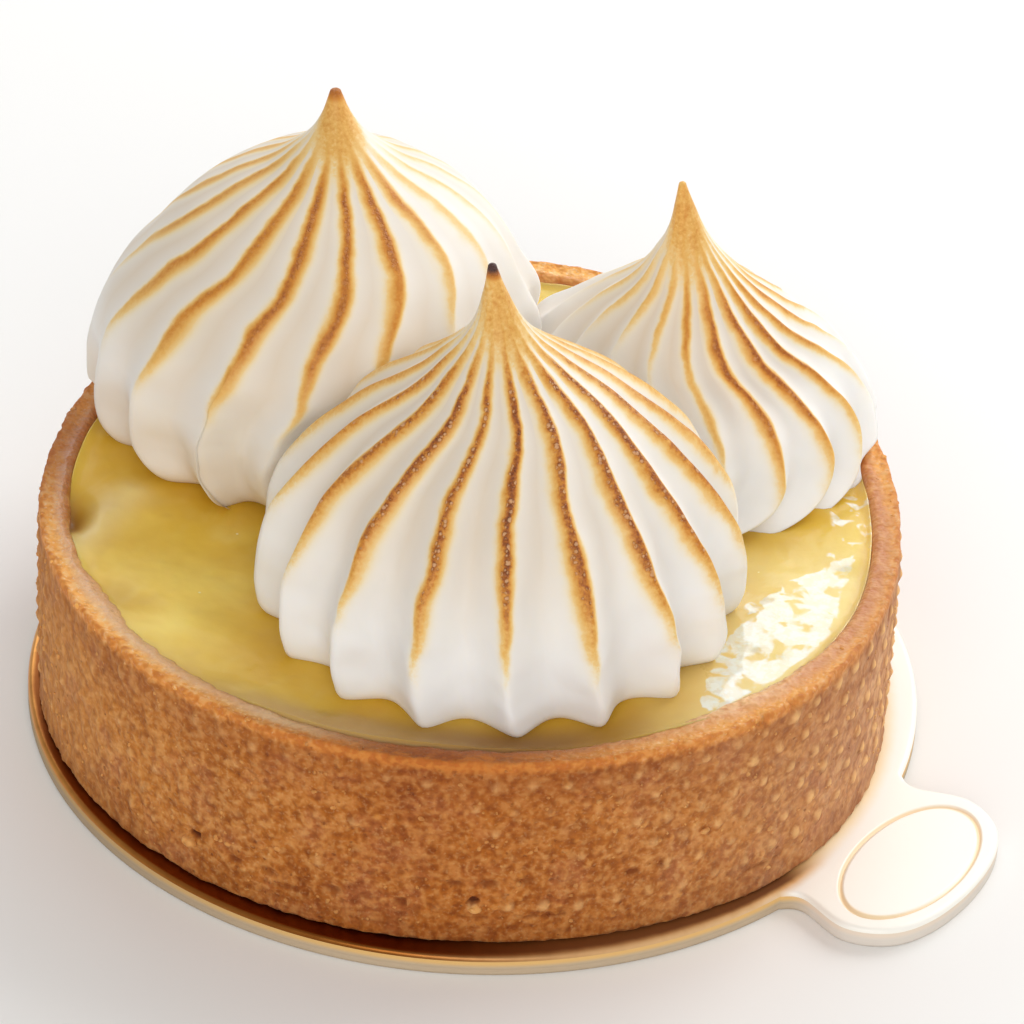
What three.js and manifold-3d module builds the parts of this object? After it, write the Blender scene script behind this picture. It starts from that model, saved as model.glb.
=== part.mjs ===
// A lemon meringue tartlet on its gold card board: a ring-baked shortcrust shell filled to the
// rim with lemon curd, and three tall fluted kisses of torched meringue pressed together on top.
// Millimetres, +Z up. The origin is on the underside of the card, below the middle of the shell.
import * as THREE from 'three';
import { mergeVertices } from 'three/addons/utils/BufferGeometryUtils.js';
import Module from 'manifold-3d';

// ---------------------------------------------------------------- driving dimensions
const card = {
  radius: 41.4, // of the round part
  thickness: 2,
  edgeRound: 0.35, // the cut edges are pressed slightly round
  middle: [0.7, -0.4], // the tart stands a little off the middle of its card
  tabDirection: -32, // degrees from +X
  tabReach: 53.4, // from the middle of the card to the end of the tab
  tabHalfWidth: 11.2,
  neckDistance: 41.9, // from the middle of the card to the narrow neck of the tab
  neckFillet: 0.9,
  // Half of the tab's outline, from the neck: share of the way out, share of the half width.
  tabOutline: [[0, 0.88], [0.42, 1], [0.76, 0.84], [0.94, 0.5]],
  oval: { distance: 47.1, halfWidth: 9.6, halfLength: 5.2 }, // pressed into the tab
  grooveWidth: 0.7,
  grooveDepth: 0.25,
};

const shell = {
  radius: 39.8, // baked in an 80 mm ring
  height: 20,
  wall: 2.7,
  floor: 3,
  footRound: 0.7,
  cornerRound: 1.5, // where the wall meets the floor, inside
  rimWave: 0.22, // the rim rises and falls by this much
  dents: [ // the wall bulges out and is pressed in, at an angle and over a spread in degrees
    { at: -45, out: 1, spread: 24 },
    { at: 4, out: -0.9, spread: 22 },
    { at: 80, out: 0.6, spread: 30 },
    { at: 168, out: -0.3, spread: 18 },
  ],
};

const clearance = 0.3; // between one piece and the next

const curd = {
  level: 18.8, // above the foot of the shell
  humpHeight: 0.55, // of the spatula marks
  folds: [ // the marks are broad folds across two directions, in degrees
    { across: 55, width: 16.5, phase: 0.8, share: 0.25 },
    { across: -27, width: 16, phase: 2, share: 0.18 },
  ],
  climb: 0.5, // up the wall
  climbWidth: 3,
  hollow: { at: 173, spread: 9, depth: 1.7 }, // where the curd has pulled away from the wall
};

// A meringue kiss is piped through a star nozzle, so its ridges run from foot to tip.
// The radius over the ridges is given at shared heights, and the axis and the ridges' turn
// at every quarter of the height, starting from nothing at the foot.
const nozzle = {
  teeth: 18,
  depth: 0.14, // of the valleys between the ridges, as a share of the radius
  fadeFrom: 0.5, // the valleys fade out over this stretch of the height
  fadeTo: 0.95,
  footTuck: 0.02, // the ridges round under at the foot by this share of the radius
  tuckHeight: 0.05,
};
const radiusHeights = [0, 0.1, 0.22, 0.35, 0.5, 0.62, 0.72, 0.82, 0.92, 1];
const quarters = [0, 0.25, 0.5, 0.75, 1];
const kisses = {
  meringue_front: {
    middle: [2.5, -13.8],
    height: 35.8,
    radii: [21.3, 22, 21.6, 19.5, 15, 10, 5.8, 2.5, 1.1, 0.4],
    lean: [[0, 0], [0.2, 0.4], [0.3, 0.3], [-0.7, 0], [-1.9, -0.3]],
    turn: [0, -3, -4, 4, 2], // degrees
    firstRidge: -87, // degrees from +X
    crowding: [-0.03, 0.08], // how far the ridges bunch to one side, as sine and cosine
  },
  meringue_left: {
    middle: [-17.4, 16.5],
    height: 33,
    radii: [18.8, 20.2, 20.8, 20.5, 17.6, 14.7, 10.4, 4.9, 1.6, 0.4],
    lean: [[0, 0], [2, -0.9], [3.3, -1.6], [3.7, -0.5], [3.1, 1.8]],
    turn: [0, -23, -22, -11, -30],
    firstRidge: -93,
    crowding: [0.01, 0.15],
  },
  meringue_right: {
    middle: [18.5, 13.5],
    height: 28,
    radii: [19.2, 18.7, 16.8, 13, 8.7, 5.2, 3.2, 1.7, 0.9, 0.4],
    lean: [[0, 0], [0, 1.5], [0.4, 0.6], [-0.1, -0.1], [-1, -0.4]],
    turn: [0, 27, 13, 11, 7],
    firstRidge: -114,
    crowding: [-0.21, 0.01],
  },
};
const squash = 1.5; // softness of the face where two kisses press together

const sectors = 72; // round the shell, the curd and each kiss
const kissRows = 16; // up each kiss, above the rim

const colours = {
  card: { color: 0xd9b26a, roughness: 0.3, metalness: 0.9 },
  crust: { color: 0xb4763f, roughness: 0.75, metalness: 0 },
  curd: { color: 0xcfab3c, roughness: 0.2, metalness: 0 },
  meringue: { color: 0xefe8da, roughness: 0.55, metalness: 0 },
};

// ---------------------------------------------------------------- curves and helpers
const degrees = THREE.MathUtils.degToRad;
const { clamp, lerp, smoothstep } = THREE.MathUtils;

// The slope of a curve that never overshoots its points, at the point between two spans.
function gentleSlope(spanBefore, slopeBefore, spanAfter, slopeAfter) {
  if (slopeBefore * slopeAfter <= 0) return 0;
  const weightBefore = 2 * spanAfter + spanBefore;
  const weightAfter = spanAfter + 2 * spanBefore;
  return (weightBefore + weightAfter) / (weightBefore / slopeBefore + weightAfter / slopeAfter);
}

// A smooth curve through values given at rising marks.
function curveThrough(marks, values) {
  const spans = marks.slice(1).map((mark, i) => mark - marks[i]);
  const slopes = spans.map((span, i) => (values[i + 1] - values[i]) / span);
  const tangents = marks.map((mark, i) => {
    if (i === 0) return slopes[0];
    if (i === spans.length) return slopes[i - 1];
    return gentleSlope(spans[i - 1], slopes[i - 1], spans[i], slopes[i]);
  });
  return (at) => {
    const x = clamp(at, marks[0], marks[marks.length - 1]);
    const i = Math.max(spans.findIndex((span, k) => x <= marks[k] + span), 0);
    const t = (x - marks[i]) / spans[i];
    const bend = tangents[i] * (1 - t) - tangents[i + 1] * t + slopes[i] * (2 * t - 1);
    return lerp(values[i], values[i + 1], t) + spans[i] * t * (1 - t) * bend;
  };
}

// The smaller of two numbers, with the corner between them rounded off.
function softMin(a, b, softness) {
  const blend = Math.max(softness - Math.abs(a - b), 0) / softness;
  return Math.min(a, b) - (blend * blend * softness) / 4;
}

// A lathe turned about Z, with every vertex then moved by shape(radius, angle, height).
function turned(profile, shape) {
  const geometry = new THREE.LatheGeometry(profile, sectors).rotateX(Math.PI / 2);
  const position = geometry.getAttribute('position');
  for (let i = 0; i < position.count; i += 1) {
    const x = position.getX(i);
    const y = position.getY(i);
    position.setXYZ(i, ...shape(Math.hypot(x, y), Math.atan2(y, x), position.getZ(i)));
  }
  geometry.computeVertexNormals();
  return geometry;
}

function polar(radius, angle, height) {
  return [radius * Math.cos(angle), radius * Math.sin(angle), height];
}

// Points of a quarter circle in a profile, from one heading to the next.
function quarterRound(centreRadius, centreHeight, round, fromAngle, steps) {
  const points = [];
  for (let i = 0; i <= steps; i += 1) {
    const angle = degrees(fromAngle + (90 * i) / steps);
    const radius = centreRadius + round * Math.cos(angle);
    points.push(new THREE.Vector2(radius, centreHeight + round * Math.sin(angle)));
  }
  return points;
}

// ---------------------------------------------------------------- gold card board
// Outline with the tab along +X: the disc, then one side of the tab, its end and its other side.
function cardOutline() {
  const neckAngle = Math.asin((card.tabHalfWidth * card.tabOutline[0][1] + card.neckFillet) / card.radius);
  const disc = new THREE.EllipseCurve(0, 0, card.radius, card.radius, neckAngle, -neckAngle);
  const round = disc.getPoints(sectors);
  const side = (sign) => card.tabOutline.map(([out, across]) => new THREE.Vector2(
    lerp(card.neckDistance, card.tabReach, out),
    sign * across * card.tabHalfWidth,
  ));
  const end = new THREE.Vector2(card.tabReach, 0);
  const tabPoints = [round[sectors], ...side(-1), end, ...side(1).reverse(), round[0]];
  const tab = new THREE.SplineCurve(tabPoints);
  return new THREE.Shape([...round, ...tab.getPoints(30).slice(1, -1)]);
}

function cardSlab() {
  return new THREE.ExtrudeGeometry(cardOutline(), {
    depth: card.thickness - 2 * card.edgeRound,
    bevelThickness: card.edgeRound,
    bevelSize: card.edgeRound,
    bevelOffset: -card.edgeRound,
    bevelSegments: 1,
  }).translate(0, 0, card.edgeRound);
}

function ovalGroove() {
  const { distance, halfLength, halfWidth } = card.oval;
  const innerLength = halfLength - card.grooveWidth;
  const innerWidth = halfWidth - card.grooveWidth;
  const ring = new THREE.Shape().absellipse(distance, 0, halfLength, halfWidth, 0, 2 * Math.PI);
  ring.holes.push(new THREE.Path().absellipse(distance, 0, innerLength, innerWidth, 0, 2 * Math.PI));
  const settings = { depth: card.thickness, bevelEnabled: false, curveSegments: 20 };
  const grooveFloor = card.thickness - card.grooveDepth;
  return new THREE.ExtrudeGeometry(ring, settings).translate(0, 0, grooveFloor);
}

function asManifold(wasm, geometry) {
  const bare = geometry.clone();
  bare.deleteAttribute('normal');
  bare.deleteAttribute('uv');
  const merged = mergeVertices(bare, 1e-4);
  return new wasm.Manifold(new wasm.Mesh({
    numProp: 3,
    vertProperties: merged.getAttribute('position').array,
    triVerts: new Uint32Array(merged.getIndex().array),
  }));
}

function asGeometry(manifold) {
  const mesh = manifold.getMesh();
  const geometry = new THREE.BufferGeometry();
  geometry.setAttribute('position', new THREE.BufferAttribute(mesh.vertProperties, 3));
  geometry.setIndex(new THREE.BufferAttribute(mesh.triVerts, 1));
  geometry.computeVertexNormals();
  return geometry;
}

async function cardGeometry() {
  const wasm = await Module();
  wasm.setup();
  const pressed = asManifold(wasm, cardSlab()).subtract(asManifold(wasm, ovalGroove()));
  return asGeometry(pressed)
    .rotateZ(degrees(card.tabDirection))
    .translate(...card.middle, 0);
}

// ---------------------------------------------------------------- tart shell
const shellInnerRadius = shell.radius - shell.wall;

function rimRise(angle) {
  const slope = 0.6 * Math.cos(angle - degrees(80));
  return shell.rimWave * (slope + 0.3 * Math.sin(3 * angle + 2.1) + 0.1 * Math.sin(7 * angle));
}

// How far the shell and its filling leave the true circle, as a share of the radius.
function outOfRound(angle) {
  let out = 0;
  for (const dent of shell.dents) {
    const away = degrees(dent.at) - angle;
    const turn = Math.atan2(Math.sin(away), Math.cos(away)) / degrees(dent.spread);
    out += dent.out * Math.exp(-(turn ** 2));
  }
  return out / shell.radius;
}

function shellGeometry() {
  const half = shell.wall / 2;
  const foot = shell.footRound;
  const corner = shell.cornerRound;
  const wallMiddle = shell.radius - half;
  const profile = [
    new THREE.Vector2(0, 0),
    ...quarterRound(shell.radius - foot, foot, foot, -90, 2),
    new THREE.Vector2(shell.radius, shell.height / 2),
    ...quarterRound(wallMiddle, shell.height - half, half, 0, 3),
    ...quarterRound(wallMiddle, shell.height - half, half, 90, 2).slice(1),
    new THREE.Vector2(shellInnerRadius, shell.floor + corner),
    new THREE.Vector2(shellInnerRadius - corner, shell.floor),
    new THREE.Vector2(0, shell.floor),
  ];
  return turned(profile, (radius, angle, height) => {
    const up = smoothstep(height, shell.height * 0.6, shell.height);
    return polar(radius * (1 + outOfRound(angle)), angle, height + up * rimRise(angle));
  });
}

// ---------------------------------------------------------------- lemon curd
function spatulaMarks(x, y) {
  let height = 0.6;
  for (const fold of curd.folds) {
    const direction = degrees(fold.across);
    const along = x * Math.cos(direction) + y * Math.sin(direction);
    height += fold.share * Math.sin((2 * Math.PI * along) / fold.width + fold.phase);
  }
  return curd.humpHeight * height;
}

// Relief of the top: spatula marks, the climb at the wall and the hollow beside it.
// All of it is flattened out under the kisses.
function curdRelief(x, y, edge) {
  const angle = Math.atan2(y, x);
  const nearWall = smoothstep(Math.hypot(x, y), edge - curd.climbWidth, edge);
  const away = degrees(curd.hollow.at) - angle;
  const turn = Math.atan2(Math.sin(away), Math.cos(away)) / degrees(curd.hollow.spread);
  const wallRelief = nearWall * (curd.climb - curd.hollow.depth * Math.exp(-(turn ** 2)));
  let open = 1;
  for (const kiss of Object.values(kisses)) {
    const distance = Math.hypot(x - kiss.middle[0], y - kiss.middle[1]);
    const foot = kiss.radii[1];
    open *= smoothstep(distance, foot + 0.5, foot + 3);
  }
  return open * (wallRelief + spatulaMarks(x, y));
}

function curdGeometry() {
  const edge = shellInnerRadius - clearance;
  const bottom = shell.floor + clearance;
  const top = curd.level - clearance;
  const corner = shell.cornerRound;
  const insets = [0, 1.2, 3, 6, 10, 15, 22, 29, edge]; // rings of the top, from the wall inwards
  const profile = [
    new THREE.Vector2(0, bottom),
    new THREE.Vector2(edge - corner, bottom),
    new THREE.Vector2(edge, bottom + corner),
    ...insets.map((inset) => new THREE.Vector2(edge - inset, top)),
  ];
  return turned(profile, (radius, angle, height) => {
    const [x, y] = polar(radius * (1 + outOfRound(angle)), angle, height);
    const isTop = height > bottom + corner + clearance;
    return [x, y, isTop ? height + curdRelief(x, y, edge) : height];
  });
}

// ---------------------------------------------------------------- meringue kisses
for (const kiss of Object.values(kisses)) {
  kiss.radiusAt = curveThrough(radiusHeights, kiss.radii);
  kiss.turnAt = curveThrough(quarters, kiss.turn.map(degrees));
  const leanX = curveThrough(quarters, kiss.lean.map(([x]) => x));
  const leanY = curveThrough(quarters, kiss.lean.map(([, y]) => y));
  kiss.axisAt = (up) => [kiss.middle[0] + leanX(up), kiss.middle[1] + leanY(up)];
}

// Depth of the valleys: even over the body, and gone at the smooth drawn-out tip.
function valleyAt(up) {
  return nozzle.depth * (1 - smoothstep(up, nozzle.fadeFrom, nozzle.fadeTo));
}

function footTuck(up) {
  return 1 - nozzle.footTuck * (1 - smoothstep(up, 0, nozzle.tuckHeight));
}

// Keeps a point on its own side of the face along which two kisses press together.
function pressApart(kiss, other, x, y, height) {
  const [ax, ay] = kiss.axisAt(height / kiss.height);
  const [bx, by] = other.axisAt(height / other.height);
  const distance = Math.hypot(bx - ax, by - ay);
  const ownRadius = kiss.radiusAt(height / kiss.height);
  const otherRadius = other.radiusAt(height / other.height);
  const share = (distance ** 2 + ownRadius ** 2 - otherRadius ** 2) / (2 * distance);
  const nx = (bx - ax) / distance;
  const ny = (by - ay) / distance;
  const reach = (x - ax) * nx + (y - ay) * ny;
  const back = reach - softMin(reach, share - clearance / 2, squash);
  return [x - back * nx, y - back * ny];
}

// Height of the rim's highest point above the foot of a kiss, with the gap over it.
const rimAbove = shell.height + shell.rimWave + clearance - curd.level;

// Below the top of the rim a kiss stays inside the wall, and above it may hang over.
function insideWall(x, y, height) {
  const radius = Math.hypot(x, y);
  const limit = shellInnerRadius * (1 + outOfRound(Math.atan2(y, x))) - clearance;
  if (height > rimAbove - 1e-4 || radius <= limit) return [x, y];
  return [(x * limit) / radius, (y * limit) / radius];
}

// The rows up a kiss: two make the ledge where it spreads out over the rim.
function kissRowHeights(kiss) {
  const ledge = rimAbove / kiss.height;
  const rows = [0, nozzle.tuckHeight / 2, ledge - 0.002, ledge];
  for (let i = 1; i <= kissRows; i += 1) rows.push(lerp(ledge, 1, i / kissRows));
  return rows;
}

function kissGeometry(kiss) {
  const outline = kissRowHeights(kiss).map((up) => new THREE.Vector2(1, up));
  const profile = [new THREE.Vector2(0, 0), ...outline, new THREE.Vector2(0, 1)];
  const others = Object.values(kisses).filter((other) => other !== kiss);
  const [sine, cosine] = kiss.crowding;
  return turned(profile, (unitRadius, angle, up) => {
    const even = degrees(kiss.firstRidge) + angle;
    const around = even + sine * Math.sin(even) + cosine * Math.cos(even) + kiss.turnAt(up);
    const valley = valleyAt(up) * Math.abs(Math.sin((nozzle.teeth * angle) / 2));
    const radius = unitRadius * kiss.radiusAt(up) * footTuck(up) * (1 - valley);
    const height = up * kiss.height;
    const [ax, ay] = kiss.axisAt(up);
    let [x, y] = [ax + radius * Math.cos(around), ay + radius * Math.sin(around)];
    for (const other of others) {
      if (height < other.height) [x, y] = pressApart(kiss, other, x, y, height);
    }
    return [...insideWall(x, y, height), height];
  });
}

// ---------------------------------------------------------------- the tartlet
function piece(name, geometry, look, height) {
  const mesh = new THREE.Mesh(geometry, new THREE.MeshStandardMaterial(look));
  mesh.name = name;
  mesh.position.z = height;
  return mesh;
}

const tartlet = new THREE.Group();
tartlet.add(piece('gold_board', await cardGeometry(), colours.card, 0));
tartlet.add(piece('tart_shell', shellGeometry(), colours.crust, card.thickness));
tartlet.add(piece('lemon_curd', curdGeometry(), colours.curd, card.thickness));
for (const [name, kiss] of Object.entries(kisses)) {
  const seat = card.thickness + curd.level;
  tartlet.add(piece(name, kissGeometry(kiss), colours.meringue, seat));
}

export default tartlet;
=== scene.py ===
# Lemon meringue tartlet on its gold card: crust, curd and three torched kisses. Sizes in the
# dictionaries and trees are in millimetres, and directions round the tart in degrees, with the
# front at -90. Meshes are in metres.
import math
import bpy
from mathutils import Matrix, Vector, geometry


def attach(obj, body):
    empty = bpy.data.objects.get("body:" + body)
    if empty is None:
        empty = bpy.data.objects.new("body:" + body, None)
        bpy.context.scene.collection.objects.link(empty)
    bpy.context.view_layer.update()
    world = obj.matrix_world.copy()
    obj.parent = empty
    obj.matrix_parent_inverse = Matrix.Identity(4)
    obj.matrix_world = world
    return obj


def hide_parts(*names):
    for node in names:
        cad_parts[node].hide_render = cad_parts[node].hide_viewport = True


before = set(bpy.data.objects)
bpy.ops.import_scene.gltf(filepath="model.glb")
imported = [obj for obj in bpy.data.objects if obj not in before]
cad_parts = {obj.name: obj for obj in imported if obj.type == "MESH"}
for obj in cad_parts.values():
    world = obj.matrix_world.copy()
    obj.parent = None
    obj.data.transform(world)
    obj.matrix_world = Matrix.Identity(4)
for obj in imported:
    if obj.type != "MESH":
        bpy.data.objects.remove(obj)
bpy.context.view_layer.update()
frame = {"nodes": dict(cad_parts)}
scene = bpy.context.scene
mm = 0.001
fullTurn = 2 * math.pi
perRadian = 180 / math.pi
tiny = 1e-6
print("frame loaded:", ", ".join(frame["nodes"]))


# sockets as plain expressions, for shaders and for Geometry Nodes
def mathsMethod(operation, swapped=False):  # a method that adds one Math node
    def run(wire, *others):
        return wire.maths(operation, *((*others, wire) if swapped else (wire, *others)))
    return run


class Wire:  # one output socket; sums on it add Math nodes to its tree
    def __init__(self, bench, socket):
        self.bench = bench
        self.socket = socket

    def maths(self, operation, *values):
        return self.bench.node("ShaderNodeMath", {"operation": operation}, values)["Value"]

    __add__ = mathsMethod("ADD")
    __radd__ = mathsMethod("ADD", swapped=True)
    __sub__ = mathsMethod("SUBTRACT")
    __rsub__ = mathsMethod("SUBTRACT", swapped=True)
    __mul__ = mathsMethod("MULTIPLY")
    __rmul__ = mathsMethod("MULTIPLY", swapped=True)
    __truediv__ = mathsMethod("DIVIDE")
    __pow__ = mathsMethod("POWER")
    __rpow__ = mathsMethod("POWER", swapped=True)
    __abs__ = mathsMethod("ABSOLUTE")
    sin = mathsMethod("SINE")
    cos = mathsMethod("COSINE")
    sqrt = mathsMethod("SQRT")
    round = mathsMethod("ROUND")
    least = mathsMethod("MINIMUM")
    most = mathsMethod("MAXIMUM")
    smoothLeast = mathsMethod("SMOOTH_MIN")
    smoothMost = mathsMethod("SMOOTH_MAX")
    below = mathsMethod("LESS_THAN")  # 1 where this is less than the other, 0 elsewhere
    pingPong = mathsMethod("PINGPONG")
    arctan2 = mathsMethod("ARCTAN2")

    def __neg__(self):
        return self * -1.0

    def wrap(self, low, high):
        return self.maths("WRAP", self, high, low)

    def bell(self):  # 1 at nought, falling off smoothly to both sides
        return math.e ** -(self * self)

    def ramp(self, low, high, kind="SMOOTHSTEP"):  # from 0 at low to 1 at high
        return self.bench.node("ShaderNodeMapRange", {"interpolation_type": kind},
                               {"Value": self, "From Min": low, "From Max": high})["Result"]

    def line(self, low, high):
        return self.ramp(low, high, "LINEAR")

    def fade(self, low, high):  # from 1 at low to 0 at high
        return 1 - self.ramp(low, high)

    def clamp(self, low, high):
        return self.most(low).least(high)

    def curve(self, marks, values):  # a smooth curve through values at rising marks from 0 to 1
        low, high = min(values), max(values)
        if high - low < tiny:
            return self * 0 + low
        points = [(mark, (value - low) / (high - low)) for mark, value in zip(marks, values)]
        shaped = self.bench.node("ShaderNodeFloatCurve", {"points": points}, {"Value": self})
        return shaped["Value"] * (high - low) + low

    def split(self):
        parts = self.bench.node("ShaderNodeSeparateXYZ", {}, [self])
        return parts["X"], parts["Y"], parts["Z"]

    def vector(self, operation, *values):
        return self.bench.node("ShaderNodeVectorMath", {"operation": operation},
                               [self, *values])["Vector"]

    def scaled(self, size):
        return self.bench.node("ShaderNodeVectorMath", {"operation": "SCALE"},
                               {"Vector": self, "Scale": size})["Vector"]


class Made:  # a node just made, whose outputs are read by name
    def __init__(self, bench, node):
        self.bench = bench
        self.node = node

    def __getitem__(self, name):
        return Wire(self.bench, next(s for s in self.node.outputs if s.name == name and s.enabled))


class Bench:  # where the nodes of one tree are made
    def __init__(self, tree):
        self.tree = tree

    def node(self, kind, settings=None, inputs=()):
        made = self.tree.nodes.new(kind)
        for name, value in (settings or {}).items():
            if name == "points":
                self.setCurve(made, value)
            elif name == "stops":
                self.setStops(made, value)
            else:
                setattr(made, name, value)
        pairs = inputs.items() if isinstance(inputs, dict) else enumerate(inputs)
        for key, value in pairs:
            if isinstance(key, str):
                socket = next(s for s in made.inputs if s.name == key and s.enabled)
            else:
                socket = made.inputs[key]
            for item in value if isinstance(value, list) else [value]:
                if isinstance(item, Wire):
                    self.tree.links.new(item.socket, socket)
                else:
                    socket.default_value = item
        return Made(self, made)

    def setCurve(self, made, points):
        curve = made.mapping.curves[0]
        curve.points[0].location = points[0]
        curve.points[-1].location = points[-1]
        for mark, value in points[1:-1]:
            curve.points.new(mark, value)
        for point in curve.points:
            point.handle_type = "AUTO_CLAMPED"
        made.mapping.update()

    def setStops(self, made, stops):
        ramp = made.color_ramp
        while len(ramp.elements) < len(stops):
            ramp.elements.new(0.5)
        for element, (place, colour) in zip(ramp.elements, stops):
            element.position = place
            element.color = tint(*colour)

    def join(self, x, y, z):
        return self.node("ShaderNodeCombineXYZ", {}, [x, y, z])["Vector"]

    def noise(self, where, size, detail=2.0, roughness=0.5, distortion=0.0):
        # size is that of one lump; the answer is around 0.5
        return self.node("ShaderNodeTexNoise", {}, {
            "Vector": where, "Scale": 1 / size, "Detail": detail,
            "Roughness": roughness, "Distortion": distortion})["Fac"]

    def cells(self, where, size):  # the distance to the nearest cell's point, and the cell's draw
        made = self.node("ShaderNodeTexVoronoi", {}, {"Vector": where, "Scale": 1 / size})
        return made["Distance"] * size, made["Color"].split()[0]

    def draw(self, *values):  # an even random number from 0 to 1, fixed by three numbers
        return self.node("ShaderNodeTexWhiteNoise", {"noise_dimensions": "3D"},
                         [self.join(*values)])["Value"]

    def mix(self, share, first, second, way="MIX"):  # of two colours, or of tints by their names
        first, second = (tint(*self.tints[c]) if isinstance(c, str) else c for c in (first, second))
        return self.node("ShaderNodeMix", {"data_type": "RGBA", "blend_type": way},
                         {"Factor": share, "A": first, "B": second})["Result"]

    def coats(self, colour, *coats):  # each is a share and the tint that it lays over the rest
        for share, coat in coats:
            colour = self.mix(share, colour, coat)
        return colour

    def attribute(self, name):
        return self.node("ShaderNodeAttribute", {"attribute_name": name})["Fac"]

    def position(self):
        return self.node("GeometryNodeInputPosition")["Position"]

    def reshape(self, kind, shape, **inputs):  # a Geometry Nodes step from one shape to the next
        return self.node(kind, {}, {"Geometry": shape, **inputs})["Geometry"]

    def store(self, shape, values):  # keeps each value on the points, under its name
        for name, value in values.items():
            shape = self.node("GeometryNodeStoreNamedAttribute",
                              {"data_type": "FLOAT", "domain": "POINT"},
                              {"Geometry": shape, "Name": name, "Value": value})["Geometry"]
        return shape


def tint(red, green, blue):  # a colour as picked on a screen, made linear
    def linear(value):
        share = value / 255
        return share / 12.92 if share <= 0.04045 else ((share + 0.055) / 1.055) ** 2.4
    return (linear(red), linear(green), linear(blue), 1.0)


def materialBench(name, tints=None):
    material = bpy.data.materials.new(name)
    material.use_nodes = True
    material.node_tree.nodes.clear()
    bench = Bench(material.node_tree)
    bench.material = material
    bench.tints = tints
    bench.place = bench.node("ShaderNodeTexCoord")["Object"].scaled(1 / mm)
    return bench


def surface(bench, inputs, bumps=()):  # bumps are pairs of a height in millimetres and a strength
    normal = None
    for height, strength in bumps:
        sockets = {"Height": height, "Strength": strength, "Distance": mm}
        if normal:
            sockets["Normal"] = normal
        normal = bench.node("ShaderNodeBump", {}, sockets)["Normal"]
    if normal:
        inputs = {**inputs, "Normal": normal}
    shader = bench.node("ShaderNodeBsdfPrincipled", {}, inputs)
    bench.node("ShaderNodeOutputMaterial", {}, {"Surface": shader["BSDF"]})
    return bench.material


def treeBench(name, inputs):  # a Geometry Nodes tree with named inputs
    tree = bpy.data.node_groups.new(name, "GeometryNodeTree")
    tree.interface.new_socket("Geometry", in_out="INPUT", socket_type="NodeSocketGeometry")
    kinds = {int: "NodeSocketInt", float: "NodeSocketFloat"}
    for label, value in inputs.items():
        kind = kinds.get(type(value), "NodeSocketMaterial")
        tree.interface.new_socket(label, in_out="INPUT", socket_type=kind)
    tree.interface.new_socket("Geometry", in_out="OUTPUT", socket_type="NodeSocketGeometry")
    bench = Bench(tree)
    bench.given = bench.node("NodeGroupInput")
    bench.inputs = inputs
    return bench


def closeTree(bench, shape):  # every tree ends in realized, smooth, painted mesh
    shape = bench.reshape("GeometryNodeRealizeInstances", shape)
    shape = bench.reshape("GeometryNodeSetShadeSmooth", shape)
    shape = bench.reshape("GeometryNodeSetMaterial", shape, Material=bench.given["Material"])
    bench.node("NodeGroupOutput", {}, {"Geometry": shape})


def plainPiece(name, bench, start=None):  # runs the tree once and keeps its mesh
    holder = bpy.data.objects.new(name + "Maker", start or bpy.data.meshes.new(name + "Start"))
    scene.collection.objects.link(holder)
    modifier = holder.modifiers.new(name, "NODES")
    modifier.node_group = bench.tree
    for item in bench.tree.interface.items_tree:
        if item.in_out == "INPUT" and item.name in bench.inputs:
            modifier[item.identifier] = bench.inputs[item.name]
    depsgraph = bpy.context.evaluated_depsgraph_get()
    mesh = bpy.data.meshes.new_from_object(holder.evaluated_get(depsgraph), depsgraph=depsgraph)
    bpy.data.objects.remove(holder)
    mesh.name = name
    piece = bpy.data.objects.new(name, mesh)
    scene.collection.objects.link(piece)
    triangles = sum(len(p.vertices) - 2 for p in mesh.polygons)
    print(name + ":", len(mesh.vertices), "points,", triangles, "triangles")
    return piece


def turnedMesh(name, profile, columns):  # a lathe of (radius, height) rows, its ends on the axis
    points, faces, rings = [], [], []
    for radius, height in profile:
        if radius < tiny:
            rings.append([len(points)] * columns)
            points.append((0, 0, height * mm))
            continue
        rings.append(range(len(points), len(points) + columns))
        for column in range(columns):
            angle = fullTurn * column / columns
            points.append((radius * math.cos(angle) * mm, radius * math.sin(angle) * mm,
                           height * mm))
    for lower, upper in zip(rings, rings[1:]):
        for column in range(columns):
            after = (column + 1) % columns
            corners = [lower[column], lower[after], upper[after], upper[column]]
            faces.append(list(dict.fromkeys(corners)))
    mesh = bpy.data.meshes.new(name)
    mesh.from_pydata(points, [], faces)
    return mesh


view = {
    "distance": 550.0,
    "elevation": 35.93,
    "roll": 2.65,
    "focalPixels": 5957.4,
    "target": (0.0, 0.0, 12.0),
    "targetPixel": (470.2, 584.9),
    "framePixels": 1024,
    "sensor": 36.0,
    "nearest": 10.0,
}


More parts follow.
